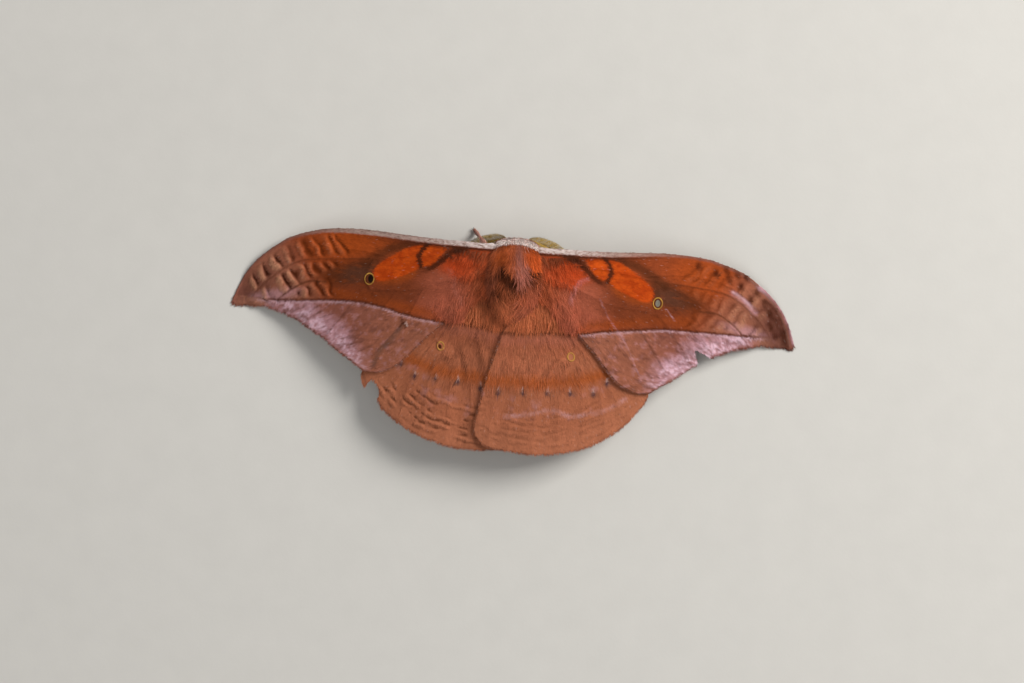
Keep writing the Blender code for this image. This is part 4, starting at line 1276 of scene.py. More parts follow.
        c.lay(Tone.BAR, 0.9 * np.exp(-((back + 0.08) / 0.22) ** 2) * ramp(47, 43, c.across))
        # The last 0.35 mm of the outer margin is painted darker: painted shade at the wing's edge.
        c.lay(Tone.DUSK, 0.5 * outer * (1 - ramp(0.0, 0.35, edge)))

    def paint_patches(self, c: Canvas, fine: Array) -> None:
        """Paints the two orange patches, the bar between them and the slanting dark band.

        Args:
            c: The canvas.
            fine: Fine noise.
        """
        lower = c.area(((16.3, 1.75), (18.4, 2.15), (20.6, 3.3), (22.8, 4.7), (24.4, 6.0),
                        (25.0, 7.1), (24.7, 8.2), (23.6, 8.7), (21.6, 8.2), (19.6, 7.4),
                        (17.7, 6.4), (16.7, 5.4), (17.2, 3.6)), 0.22)
        soft_edge = c.area(((17.0, 3.0), (22.0, 6.0), (24.8, 8.6), (22.0, 9.2), (17.6, 7.4)), 0.7)
        c.lay(Tone.RUST, 0.7 * soft_edge)
        c.lay(Tone.ORANGE, lower)
        c.lay(Tone.ORANGE_GLOW, 0.7 * lower * ramp(-0.3, 0.6, fine + 0.4 * ramp(24, 17, c.across)))
        inner_patch = c.area(((12.2, 2.0), (13.4, 1.6), (14.9, 1.6), (15.9, 2.1), (16.6, 3.6),
                              (16.2, 5.3), (15.2, 5.6), (14.2, 4.8), (13.2, 3.3)), 0.2)
        c.lay(Tone.ORANGE, 0.95 * inner_patch)
        c.lay(Tone.ORANGE_GLOW, 0.9 * inner_patch * ramp(-0.6, 0.4, fine))
        c.brush(Tone.BAR, 0.95, ((15.6, 1.5), (16.7, 2.8), (17.1, 4.1), (16.5, 5.6)), 0.4, 0.2)
        c.brush(Tone.BAR, 0.95 * ramp(17.5, 14.5, c.across),
                ((8.6, 1.7), (11.2, 2.5), (13.1, 4.3), (14.5, 5.5), (16.0, 6.1)), 0.52, 0.3)

    def paint_front(self, c: Canvas, front: Array) -> None:
        """Paints the frosted front edge, with a dark line behind it, fading towards the tip.

        Args:
            c: The canvas.
            front: Distance from the leading edge.
        """
        fade = 1 - ramp(*self.frost_fade, c.across)
        width = 0.45 + 0.42 * fade
        band = 1 - ramp(width - 0.22, width + 0.18, front)
        c.lay(Tone.COSTA_LINE, 0.9 * np.exp(-((front - width - 0.3) / 0.3) ** 2)
              * (1 - ramp(15, 32, c.across)))
        c.lay(Tone.PINK_BROWN, band * 0.85)
        grain = layered_noise(c.across, c.along, 0.22, self.seed + 12, 2)
        c.lay(Tone.FROST_BAND, band * fade * (0.9 + 0.5 * grain))
        c.lay(Tone.FROST, 0.75 * band * ramp(20, 5, c.across) * (0.65 + 1.3 * grain))
        c.lay(Tone.FROST_SHADE, 0.7 * band * ramp(0.15, 0.55, -grain) * fade)
        c.lay(Tone.FROST_SHADE, 0.5 * band * ramp(0.35, 0.0, front) * ramp(8, 20, c.across))

    def dress(self) -> None:
        """Adds the long hair of the wing's root to the coat."""
        super().dress()
        hair = Mould(self.side, smooth=False)
        across, along = self.top.points[..., 0], self.top.points[..., 1]
        front = path_distance(across, along, self.leading)
        field_weight = (ramp(16.5, 8.5, across + 1.2 * layered_noise(
            across, along, 2.0, self.seed + 30)) * ramp(1.0, 1.4, front)
            * ramp(15.0, 14.2, along) * (1 + 1.5 * ramp(8.0, 12.0, along)))
        roots = self.top.scatter(self.base_hairs, field_weight + 1e-6)
        x, y = roots.position[:, 0], roots.position[:, 1]
        lean = np.radians(34 - 2.2 * x + 12 * layered_noise(x, y, 3.0, self.seed + 31))
        roots = roots.aimed(lean, 0.95)
        paint = self.paint(x, y)
        clump = layered_noise(x, y / 2.5, 0.9, self.seed + 32, 2)
        paint *= self.hair_painted_light * np.exp(0.22 * clump)[:, None]
        mix = (0.35 * ramp(11.0, 5.0, x))[:, None]
        paint = paint * (1 - mix) + mix * linear(Tone.FUR.value)
        end = np.interp(x, *np.array(self.cross_line).T) - 0.15
        room = (end - y).clip(0.4) / LONG_HAIR.length
        scale = np.minimum((0.5 + 0.4 * ramp(12.0, 5.0, x) + 0.6 * ramp(9.0, 12.0, y))
                           * (0.3 + 0.7 * ramp(15.0, 9.5, x)), room)
        LONG_HAIR.grow(hair, roots, paint, scale)
        hair.piece(self.name + "_root_hair", HAIR, self.slot(), coat=True)


@dataclass
class HindWing(Wing):
    """A hindwing: orange brown, with a row of dark spots, ripples and a lapped inner edge."""

    kind: str = "hindwing"
    vein_rise: float = 0.05
    rows: int = 170
    columns: int = 130
    scale_tufts: int = 20000
    hairs: int = 5600
    # Gain of the streaming hair's paint. The right wing's is higher, as painted light on the side
    # that the light falls from.
    hair_painted_light: float = 1.0
    root_hairs: int = 2600
    below: float = 0.72
    middle_drop: float = 0.0
    spots: Points = ()
    ripple_strength: float = 1.0

    def base_height(self, across: Array, along: Array) -> Array:
        """Height of the sheet: a little under the roof, and lower still where it is lapped."""
        drop = self.middle_drop * (1 - ramp(6.0, 13.0, across))
        return roof_height(across, along) - self.below - drop

    def shown(self, across: Array, along: Array) -> Array:
        """Weight of the scale coat: none on the window, little under the forewing and the fur."""
        open_part = ramp(-2.5, 0.0, along - 5.8 - 0.77 * across)
        return self.ocellus.clear(across, along) * (0.08 + 0.92 * open_part)

    def ripples(self, across: Array, along: Array) -> Array:
        """Gives the ripples of the margin: sin of the distance from it, broken into dashes.

        Args:
            across: Across of each point.
            along: Along of each point.

        Returns:
            From -1, a dark hollow, to 1, a light swell.
        """
        edge = path_distance(across, along, self.margin, 60)
        wave = np.sin(2 * np.pi * edge / 1.35 + 1.6 * layered_noise(
            across, along, 2.6, self.seed + 20, 2))
        dash = ramp(-0.1, 0.25, layered_noise(across, along * 1.5, 1.1, self.seed + 21, 1))
        depth = (ramp(8.6, 6.4, edge) * ramp(0.4, 1.6, edge) * ramp(25.5, 28.0, along))
        return wave * dash * depth * self.ripple_strength

    def paint(self, across: Array, along: Array) -> Array:
        """Paints the upper face.

        Args:
            across: Across of each point.
            along: Along of each point.

        Returns:
            Linear colour of each point.
        """
        c = Canvas(across, along, Tone.HIND, self.seed)
        edge = path_distance(across, along, self.margin, 60)
        mottle, fine = c.noise(3.4), c.noise(0.55, 1, stretch=3.0)
        c.lay(Tone.RUFOUS, 0.35 * ramp(21.0, 15.0, along))
        c.lay(Tone.HIND_PALE, 0.8 * (1 - ramp(1.0, 6.5, edge)))
        c.brush(Tone.HIND_RED, 0.85, ((21.0, 19.8), (17.0, 22.2), (12.0, 23.4), (4.0, 24.1),
                                      (-4.5, 24.4)), 1.0, 1.1)
        c.lay(Tone.LILAC, 0.18 * ramp(0.05, 0.7, c.noise(1.3, 6))
              * ramp(10.4, 9.0, edge) * ramp(5.0, 7.0, edge))
        # The margin's ripples are the wing's own wave marks, with painted shade in each hollow and
        # a painted highlight on each swell.
        swell = self.ripples(across, along)
        c.lay(Tone.SMOKE, 0.7 * (-swell).clip(0))
        c.lay(Tone.HIND_PALE, 0.5 * swell.clip(0))
        for x, y in self.spots:
            c.oval(Tone.SMOKE_GREY, 0.5, (x, y), (0.7, 0.6), 0, 0.8)
            c.oval(Tone.SPOT, 0.85, (x - 0.05, y + 0.05), (0.26, 0.42), 20, 0.6)
            c.oval(Tone.TICK, 0.5, (x - 0.1, y - 0.7), (0.12, 0.4), 16, 0.6)
        back = c.behind(self.cross_line)
        # The dark band along the cross line is the line itself and painted shadow under the tips of
        # the hair that ends at it.
        c.lay(Tone.BAR, 0.8 * np.exp(-((back + 0.05) / 0.32) ** 2))
        c.lay(Tone.FUR_PINK, 0.3 * np.exp(-((back - 0.9) / 0.7) ** 2))
        for mark in self.marks:
            c.brush(mark.tone, mark.strength * (0.8 + c.noise(0.9, 15)), mark.points,
                    mark.half_width, mark.soft)
        # The last 0.3 mm of the margin is painted darker: painted shade at the wing's edge.
        c.lay(Tone.DUSK, 0.5 * (1 - ramp(0.0, 0.3, edge)))
        streak = layered_noise(across, along / 6, 0.35, self.seed + 13, 2)
        return c.colour * np.exp(0.07 * fine + 0.06 * mottle + 0.07 * streak)[..., None]

    def dress(self) -> None:
        """Adds the fine hair that streams back over the inner part of the wing."""
        super().dress()
        hair = Mould(self.side, smooth=False)
        across, along = self.top.points[..., 0], self.top.points[..., 1]
        end = np.interp(across, *np.array(self.cross_line).T)
        self.dress_root(hair, end)
        x, y = self.ocellus.centre
        clear = ramp(0.9, 1.3, np.hypot(across - x, (along - y + 0.9) / 2))
        weight = (ramp(27.0, 19.0, along) * ramp(15.0, 8.0, across)
                  * ramp(-0.2, 0.5, along - end) * clear + 1e-6)
        roots = self.top.scatter(self.hairs, weight)
        x, y = roots.position[:, 0], roots.position[:, 1]
        lean = np.radians(2.0 * x + 8 * layered_noise(x, y, 3.0, self.seed + 31))
        roots = roots.aimed(lean, 0.97)
        paint = self.paint(x, y + 0.6)
        paint *= self.hair_painted_light * np.exp(0.16 * layered_noise(
            x, y / 4, 0.5, self.seed + 32, 2))[:, None]
        HIND_HAIR.grow(hair, roots, paint)
        hair.piece(self.name + "_streaming_hair", HAIR, self.slot(), coat=True)

    def dress_root(self, hair: Mould, end: Array) -> None:
        """Adds the body's long hair over the open part of the wing's root.

        It grows behind the forewing's rear edge, which lies at 5.8 mm plus 0.77 of across, and
        its tips end together at the dark cross line.

        Args:
            hair: Where the hair is gathered.
            end: Along of the cross line at each point of the face.
        """
        across, along = self.top.points[..., 0], self.top.points[..., 1]
        weight = (ramp(-2.0, -0.6, along - 5.8 - 0.77 * across)
                  * ramp(-0.5, -1.1, along - end) + 1e-7)
        roots = self.top.scatter(self.root_hairs, weight)
        x, y = roots.position[:, 0], roots.position[:, 1]
        lean = np.radians(1.2 * x + 8 * layered_noise(x, y, 2.0, self.seed + 34))
        roots = roots.aimed(lean, 0.97, 0.25)
        clump = layered_noise(x, y / 3, 0.6, self.seed + 33, 2)
        paint = linear(Tone.FUR_WARM.value) * np.exp(0.2 * clump - 0.1)[:, None]
        room = np.interp(x, *np.array(self.cross_line).T) - 0.15 - y
        LONG_HAIR.grow(hair, roots, paint, (room.clip(0.4) / LONG_HAIR.length).clip(0, 1.3))


BACK_HAIR = TuftStyle(length=3.0, width=0.11, lift=10.0, lift_spread=5.0, flatten=0.7,
                      curl=0.14, turn_spread=9.0, length_spread=0.22, shade_spread=0.13,
                      root_painted_shade=0.95, tip_painted_light=1.5, root_depth=0.12)
SIDE_HAIR = TuftStyle(length=1.6, width=0.12, rings=(0.0, 0.5), widths=(0.9, 0.9), lift=15.0,
                      turn_spread=14.0, shade_spread=0.18, root_painted_shade=0.6)
COLLAR_TUFT = TuftStyle(length=0.5, width=0.1, rings=(0.0, 0.5), widths=(0.9, 1.0), lift=12.0,
                        lift_spread=7.0, turn_spread=22.0, shade_spread=0.32, root_painted_shade=0.7,
                        tip_painted_light=1.3)
BELLY_HAIR = TuftStyle(length=1.15, width=0.12, rings=(0.0, 0.5), widths=(0.9, 0.8), lift=11.0,
                       turn_spread=11.0, shade_spread=0.15, root_painted_shade=0.7)
FACE_HAIR = TuftStyle(length=0.42, width=0.06, rings=(0.0, 0.5), widths=(0.9, 0.8), lift=24.0,
                      lift_spread=10.0, turn_spread=18.0, root_depth=0.04, root_painted_shade=0.6,
                      shade_spread=0.18)
LEG_HAIR = TuftStyle(length=0.62, width=0.08, rings=(0.0, 0.5), widths=(0.9, 0.8), lift=16.0,
                     lift_spread=8.0, turn_spread=14.0, root_depth=0.04, root_painted_shade=0.65,
                     shade_spread=0.18)
COMB_TOOTH = TuftStyle(length=1.8, width=0.15, rings=(0.0, 0.3, 0.6, 0.85),
                       widths=(1.0, 0.9, 0.75, 0.5), thickness=0.7, lift=4.0, lift_spread=1.5,
                       flatten=0.3, curl=0.01, bend=0.0, length_spread=0.03, turn_spread=1.5,
                       root_depth=0.02, shade_spread=0.08, root_painted_shade=0.9, tip_painted_light=1.1)
BRISTLE = TuftStyle(length=0.2, width=0.045, rings=(0.0,), widths=(1.0,), thickness=0.8,
                    lift=12.0, lift_spread=8.0, turn_spread=12.0, root_depth=0.0,
                    shade_spread=0.1)


@dataclass(frozen=True)
class Hollow:
    """A tousled place in the back's fur: the hairs turn and show their dark roots, under painted
    shade.
    """

    across: float
    along: float
    radius: float
    turn: float


@dataclass
class Body:
    """Head, collar, thorax and abdomen under one skin, with their coats.

    A station is (top along, top height, bottom along, bottom height, half width, rise of the
    widest level). The stations run from the brow back under the collar's lip, over the collar
    and down to the tail.
    """

    stations: Points = (
        (-0.62, 3.9, -0.62, 3.2, 0.3, 0.0), (-0.5, 4.5, -0.48, 2.5, 1.0, 0.0),
        (0.1, 5.15, 0.2, 1.95, 1.65, 0.0), (0.9, 5.45, 1.2, 1.75, 1.92, 0.0),
        (1.6, 5.55, 2.3, 1.9, 1.8, 0.0), (1.85, 6.0, 3.0, 2.3, 1.8, 0.1),
        (1.2, 6.55, 3.5, 2.5, 2.4, 0.3), (0.0, 6.9, 3.9, 2.6, 3.1, 0.5),
        (-0.6, 7.7, 4.2, 2.6, 3.6, 0.35), (-0.6, 8.7, 4.5, 2.5, 3.95, 0.35),
        (0.05, 9.75, 5.0, 2.4, 4.3, 0.4), (1.3, 10.55, 5.6, 2.25, 4.65, 0.35),
        (3.2, 11.1, 6.6, 2.1, 4.9, 0.25), (6.0, 11.35, 8.0, 2.0, 4.9, 0.2),
        (9.0, 11.0, 9.6, 2.0, 4.6, 0.15), (11.3, 10.1, 11.3, 2.0, 3.9, 0.1),
        (12.9, 8.7, 12.8, 1.85, 3.3, 0.0), (13.9, 7.2, 13.9, 1.65, 3.1, 0.0),
        (15.0, 6.3, 15.0, 1.4, 3.0, 0.0), (17.5, 5.95, 17.5, 1.15, 3.05, 0.0),
        (21.0, 5.5, 21.0, 1.0, 2.95, 0.0), (25.0, 4.85, 25.0, 1.0, 2.55, 0.0),
        (28.5, 4.05, 28.5, 1.2, 1.75, 0.0), (30.3, 3.2, 30.3, 1.7, 0.85, 0.0),
        (30.7, 2.7, 30.7, 2.25, 0.25, 0.0))
    rows: int = 200
    columns: int = 72
    segment: float = 2.0
    segments_from: float = 14.6
    groove: float = 0.07
    hollows: tuple[Hollow, ...] = (
        Hollow(1.65, 5.2, 1.05, -55), Hollow(0.4, 6.5, 0.9, 50), Hollow(2.2, 7.7, 0.7, -40),
        Hollow(-2.2, 5.1, 0.75, 60), Hollow(5.0, 6.2, 0.9, -20))
    palp: Points = ((0.45, 0.5, 2.5), (0.5, -0.3, 2.45), (0.55, -0.8, 2.9))
    eye_place: tuple[float, float, float] = (1.6, 0.8, 3.15)
    collar_bow: float = 0.06
    back_hairs: int = 9500
    collar_tufts: int = 5200
    side_hairs: int = 7600
    abdomen_hairs: int = 8000
    head_hairs: int = 9000
    palp_hairs: int = 900
    eye_clearing: float = 0.99

    @cached_property
    def skin(self) -> Patch:
        """Lofts the skin.

        At angle phi round a station the point stands at the middle of top and bottom, plus
        half their difference times cos(phi) + rise sin^2(phi), and the half width times
        sin(phi) to the side. Grooves between the abdomen's rings draw it in by a few per cent.

        Returns:
            The skin as a patch closed round the body.
        """
        s = smooth_path(self.stations, self.rows)
        phi = np.linspace(0, 2 * np.pi, self.columns, endpoint=False)[None, :]
        middle = (s[:, None, 0:2] + s[:, None, 2:4]) / 2
        half = (s[:, None, 0:2] - s[:, None, 2:4]) / 2
        level = (np.cos(phi) + s[:, 5:6] * np.sin(phi) ** 2)[..., None]
        profile = middle + half * level
        across = -s[:, 4:5] * np.sign(np.sin(phi)) * np.abs(np.sin(phi)) ** 0.92
        along = middle[..., 0]
        beat = ((along - self.segments_from) / self.segment + 0.5) % 1 - 0.5
        draw = self.groove * np.exp(-(beat / 0.14) ** 2) * ramp(14.0, 15.5, along)
        points = np.dstack([across, profile])
        centre = np.dstack([0 * along, middle])
        points = centre + (points - centre) * (1 - draw)[..., None]
        lump = layered_noise(points[..., 0] + 9, points[..., 1] + points[..., 2], 1.6, SEED, 3)
        return Patch(points + 0.07 * lump[..., None] * Patch(points, True).slopes()[2], True)

    def paint(self, spot: Array) -> Array:
        """Paints the skin and the roots of its coats.

        Args:
            spot: Points as (across, along, height).

        Returns:
            Linear colour of each point.
        """
        x, y, z = spot[..., 0], spot[..., 1], spot[..., 2]
        c = Canvas(x, y, Tone.FUR, SEED)
        upper = ramp(6.5, 8.5, z)
        c.lay(Tone.FUR_WARM, 0.9 * ramp(6.5, 9.5, y))
        c.lay(Tone.PINK_RUFOUS, 0.6 * upper * ramp(0.4, -2.5, x) * ramp(3.0, 6.0, y))
        c.oval(Tone.RUST, 0.85 * upper, (2.0, 2.3), (1.2, 2.2), 0, 0.5)
        c.oval(Tone.FUR_ORANGE, 0.9 * upper, (-2.8, 2.0), (1.1, 1.9), 0, 0.5)
        c.oval(Tone.FUR_PINK, 0.9 * upper, (-0.7, 3.0), (0.7, 3.0), 6, 0.5)
        c.oval(Tone.FUR_DARK, 0.15 * upper, (0.5, 7.0), (3.6, 2.2), 0, 0.6)
        # The thorax's left edge is painted dark: painted shade in the valley between it and the
        # left forewing.
        c.lay(Tone.FUR_DARK, 0.9 * upper * ramp(3.9, 4.7, x))
        c.oval(Tone.DUSK, 0.5 * upper, (3.3, 5.2), (1.2, 2.6), 0, 0.5)
        # Each hollow is painted dark: painted shade in the recess over the hairs' darker roots.
        for hollow in self.hollows:
            reach = np.hypot(x - hollow.across, y - hollow.along) / hollow.radius
            c.lay(Tone.FUR_DARK, 0.95 * upper * np.exp(-reach ** 2))
        c.lay(Tone.FUR_PINK, 0.55 * ramp(6.8, 3.2, z))
        c.lay(Tone.HIND, 0.8 * ramp(13.5, 15.5, y))
        beat = ((y - self.segments_from) / self.segment) % 1
        c.lay(Tone.HIND_PALE, 0.45 * ramp(0.55, 0.95, beat) * ramp(14, 15.5, y))
        c.lay(Tone.FUR_PINK, 0.5 * ramp(15.0, 17.0, y) * ramp(3.0, 1.6, z))
        head = ramp(6.1, 5.6, z) * ramp(2.6, 1.4, y)
        c.lay(Tone.LEG_PINK, 0.8 * head)
        c.lay(Tone.FROST, 0.6 * head * ramp(0.3, -0.3, y) * ramp(3.2, 4.2, z))
        c.lay(Tone.FUR_DARK, 0.35 * head * ramp(3.2, 2.2, z))
        behind = y - self.collar_bow * x * x
        # A thin dark line just behind the collar's frosted band: painted shadow behind the collar.
        c.lay(Tone.COSTA_LINE, 0.8 * ramp(6.0, 6.8, z) * np.exp(-((behind - 0.38) / 0.2) ** 2)
              * (0.4 + 0.6 * ramp(0.5, 2.5, np.abs(x))))
        low = 7.3 + 0.1 * x * x + 0.7 * c.noise(0.9, 9)
        frost = ramp(-0.5, 0.5, z - low) * ramp(0.3, 0.05, behind)
        c.lay(Tone.FROST, frost * (0.8 + 0.3 * c.noise(0.5, 3)))
        tone = layered_noise(x + 0.4 * z, y / 2.5, 0.9, SEED + 4, 3)
        return c.colour * np.exp(0.14 * tone)[..., None]

    def build(self) -> None:
        """Makes the skin with its palps, and every coat."""
        mould = Mould()
        mould.add_tube(self.skin.points, 0.8 * self.paint(self.skin.points))
        palps = []
        for side in (-1, 1):
            path = smooth_path(np.array(self.palp) * [side, 1, 1], 14)
            rings = limb_rings(path, np.interp(np.linspace(0, 1, 14), [0, 0.6, 0.95, 1],
                                               [0.26, 0.28, 0.2, 0.08]), 14)
            mould.add_tube(rings, 0.8 * linear(Tone.LEG_PINK.value))
            palps.append(Patch(rings, True))
        piece = mould.piece("body_skin", UNDERFUR, "body_fur")
        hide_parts("collar", "thorax", "abdomen", "head")
        self.coat_back()
        self.coat_collar()
        self.coat_sides()
        self.coat_abdomen()
        self.coat_head(palps)

    def coat_back(self) -> None:
        """Grows the long fur of the back in two halves.

        It lies back and splays outwards by 8 degrees for each millimetre across, but over the
        rear it runs together towards a line a little left of the middle. Near a hollow
        it turns by the hollow's angle times exp(-(d / r)^2), of its root and of its middle. A
        hair that would hang over a hollow is short, and one rooted in it is painted dark, as
        painted shade in the hollow. Hairs at the left edge are painted darker too, as painted
        shade in the valley beside the left forewing.
        """
        x, y, z = np.moveaxis(self.skin.points, -1, 0)
        weight = (ramp(7.6, 8.8, z) * ramp(0.3, 0.7, y - self.collar_bow * x * x)
                  * ramp(14.4, 13.0, y) + 1e-7)
        for side in Side:
            roots = self.skin.scatter(self.back_hairs, weight * (x * side.value > -0.15))
            rx, ry = roots.position[:, 0], roots.position[:, 1]
            meeting = (ramp(6.5, 9.0, ry) * ramp(14.5, 12.0, ry)
                       * ramp(4.5, 3.0, np.abs(rx - 0.8)))
            lean = np.radians(8.0 * rx * (1 - meeting) - 10.0 * (rx - 0.8) * meeting
                              + 14 * layered_noise(rx, ry, 1.5, SEED + 5, 2))
            roots = roots.aimed(lean, 0.92)
            near, over, turn = np.zeros((3, len(rx)))
            middle = roots.position + 0.6 * BACK_HAIR.length * roots.lie
            for hollow in self.hollows:
                place = np.array([hollow.across, hollow.along])
                at_root, at_middle = (np.exp(-((spot[:, :2] - place) ** 2).sum(1)
                                             / hollow.radius ** 2)
                                      for spot in (roots.position, middle))
                near = np.maximum(near, at_root)
                over = np.maximum(over, at_middle)
                turn += math.radians(hollow.turn) * (at_root + 0.8 * at_middle)
            roots = roots.turned(turn)
            clump = layered_noise(rx, ry / 2, 0.7, SEED + 6, 2)
            # Hairs rooted in a hollow, and a little those over one, get painted shade, and those at
            # the left edge get painted shade of the valley beside the left forewing.
            paint = self.paint(roots.position) * np.exp(
                0.3 * clump - 1.6 * near - 0.3 * over - 0.6 * ramp(3.6, 4.6, rx))[:, None]
            scale = ((1 - 0.4 * near) * (1 - 0.75 * over) * (0.45 + 0.55 * ramp(0.8, 4.0, ry))
                     * (1 + 0.12 * clump))
            room = (15.9 - ry).clip(0.8) / BACK_HAIR.length
            hair = Mould(smooth=False)
            BACK_HAIR.grow(hair, roots, paint, np.minimum(scale, room))
            hair.piece(f"back_fur_{side.word}", HAIR, "body_fur", coat=True)

    def coat_collar(self) -> None:
        """Grows the collar's short frosted tufts, standing off in front."""
        x, y, z = np.moveaxis(self.skin.points, -1, 0)
        weight = ramp(6.2, 6.9, z) * ramp(0.4, 0.05, y - self.collar_bow * x * x)
        roots = self.skin.scatter(self.collar_tufts, weight + 1e-7)
        paint = self.paint(roots.position)
        dark = DICE.random(len(paint)) > 0.75
        paint[dark] = 0.35 * paint[dark] + 0.65 * linear(Tone.FROST_SHADE.value)
        hair = Mould(smooth=False)
        COLLAR_TUFT.grow(hair, roots, paint)
        hair.piece("collar_tufts", HAIR, "collar_fur", coat=True)

    def coat_sides(self) -> None:
        """Grows the fur of the thorax's sides and underside."""
        x, y, z = np.moveaxis(self.skin.points, -1, 0)
        weight = (ramp(9.2, 8.0, z) * ramp(13.8, 12.6, y)
                  * np.maximum(ramp(2.0, 3.2, y), ramp(5.8, 6.6, z)
                               * ramp(0.6, 1.4, y - self.collar_bow * x * x)) + 1e-7)
        roots = self.skin.scatter(self.side_hairs, weight)
        paint = self.paint(roots.position)
        hair = Mould(smooth=False)
        SIDE_HAIR.grow(hair, roots, paint)
        hair.piece("side_fur", HAIR, "body_fur", coat=True)

    def coat_abdomen(self) -> None:
        """Grows the abdomen's close fur, and the tuft of hair at its end."""
        _, y, z = np.moveaxis(self.skin.points, -1, 0)
        weight = ramp(12.2, 13.6, y) * ramp(8.6, 7.6, z)
        roots = self.skin.scatter(self.abdomen_hairs, weight + 1e-7)
        ry = roots.position[:, 1]
        hair = Mould(smooth=False)
        scale = 1 + 0.5 * ramp(27.0, 29.5, ry) + 0.3 * ramp(15.5, 13.5, ry)
        room = (32.3 - ry).clip(0.4) / BELLY_HAIR.length
        BELLY_HAIR.grow(hair, roots, self.paint(roots.position), np.minimum(scale, room))
        hair.piece("abdomen_fur", HAIR, "body_fur", coat=True)

    def coat_head(self, palps: list[Patch]) -> None:
        """Grows the head's hair: shortest on the face and about the eyes, longer on the crown.

        Args:
            palps: The skins of the palps.
        """
        _, y, z = np.moveaxis(self.skin.points, -1, 0)
        weight = ramp(2.9, 2.2, y) * ramp(6.4, 5.8, z)
        roots = self.skin.scatter(self.head_hairs, weight + 1e-7)
        p = roots.position
        eye = np.array(self.eye_place)
        off = np.linalg.norm(np.column_stack([np.abs(p[:, 0]), p[:, 1:]]) - eye, axis=1)
        roots = roots.keep(off > self.eye_clearing)
        p = roots.position
        crown = ramp(3.9, 5.1, p[:, 2])
        scale = 0.75 + 0.5 * crown * ramp(-0.5, 0.6, p[:, 1])
        hair = Mould(smooth=False)
        FACE_HAIR.grow(hair, roots, self.paint(p), scale)
        for palp in palps:
            paint = np.tile(linear(Tone.LEG_PINK.value), (self.palp_hairs, 1))
            FACE_HAIR.grow(hair, palp.scatter(self.palp_hairs), paint, 0.75)
        hair.piece("head_fur", HAIR, "body_fur", coat=True)


def limb_rings(path: Array, radii: Array, sides: int) -> Array:
    """Carries a circle along a path.

    Each ring stands square to the path, with its first point upmost, and is never below the
    floor.

    Args:
        path: The middle line, (n, 3).
        radii: Radius at each of its points.
        sides: Points in a ring.

    Returns:
        Points (n, sides, 3).
    """
    forward = unit(np.gradient(path, axis=0))
    up = np.array([0.05, 0.08, 1.0])
    normal = unit(up - forward * (forward @ up)[:, None])
    beside = np.cross(normal, forward)
    phi = np.linspace(0, 2 * np.pi, sides, endpoint=False)[None, :, None]
    ring = np.cos(phi) * normal[:, None] + np.sin(phi) * beside[:, None]
    points = path[:, None] + radii[:, None, None] * ring
    points[..., 2] = np.maximum(points[..., 2], FLOOR_GAP)
    return points


@dataclass
class Antenna:
    """A feeler of many short joints, each with two pairs of bristled comb teeth."""

    side: Side
    path: Points = ((0.6, 0.15, 4.6), (1.8, -0.6, 4.8), (3.3, -0.4, 3.6), (4.9, 0.15, 2.5),
                    (6.8, 0.9, 1.7), (8.6, 2.0, 1.2), (10.0, 3.3, 0.8))
    joints: int = 42
    shaft_radius: float = 0.15
    teeth_from: float = 0.16
    bristles: int = 20
    tooth_bend: float = -0.22

    def build(self) -> None:
        """Makes the shaft, the comb teeth and their bristles as one piece."""
        mould = Mould(self.side)
        path = smooth_path(self.path, self.joints * 6)
        share = np.linspace(0, 1, len(path))
        beat = np.abs(np.sin(np.pi * share * self.joints))
        radii = self.shaft_radius * (1 - 0.6 * share) * (0.84 + 0.16 * beat)
        radii[:8] *= 1.9
        mould.add_tube(limb_rings(path, radii, 10), linear(Tone.OLIVE.value))
        forward = unit(np.gradient(path, axis=0))
        up = unit(np.array([0, 0, 1.0]) - forward * forward[:, 2:3])
        stations = np.linspace(self.teeth_from, 0.985, self.joints)
        at = np.repeat(stations, 4) + np.tile([0, 0.007, 0, 0.007], self.joints)
        index = (at.clip(0, 1) * (len(path) - 1)).astype(int)
        out = np.tile([1, 1, -1, -1], self.joints)
        pair = np.tile([0.12, -0.14, 0.12, -0.14], self.joints)
        t, n = forward[index], up[index]
        b = np.cross(n, t)
        lie = unit(out[:, None] * b + 0.42 * t + pair[:, None] * n - 0.12 * n)
        upright = unit(n - lie * (n * lie).sum(1, keepdims=True))
        out_share = ((at - self.teeth_from) / (1 - self.teeth_from)).clip(0, 1)
        scale = np.sin(np.pi * (0.04 + 0.92 * out_share ** 0.8)) ** 0.7
        roots = Roots(path[index], upright, lie, np.zeros((len(at), 2)))
        paint = np.tile(linear(Tone.OLIVE.value), (len(at), 1))
        for turn in (1, -1):
            half = roots.keep(out == turn)
            style = replace(COMB_TOOTH, bend=self.tooth_bend * turn)
            style.grow(mould, half, paint[out == turn], scale[out == turn])
        s = np.tile(np.linspace(0.12, 0.94, self.bristles), len(at))
        k = np.repeat(np.arange(len(at)), self.bristles)
        length = (COMB_TOOTH.length * scale)[k]
        beside = np.cross(upright, lie)
        bend = (self.tooth_bend * out)[k]
        spot = (path[index][k] + lie[k] * (s * length)[:, None]
                + beside[k] * (bend * s * s * length)[:, None])
        way = np.where(np.arange(len(k)) % 2 == 0, 1.0, -1.0)[:, None]
        fine = Roots(spot, upright[k], unit(lie[k] * 0.6 + way * beside[k]), np.zeros((len(k), 2)))
        BRISTLE.grow(mould, fine, np.tile(linear(Tone.OLIVE_DARK.value), (len(k), 1)))
        piece = mould.piece(f"antenna_comb_{self.side.word}", HORN_OLIVE, "antenna_cuticle")
        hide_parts(f"antenna_{self.side.word}")


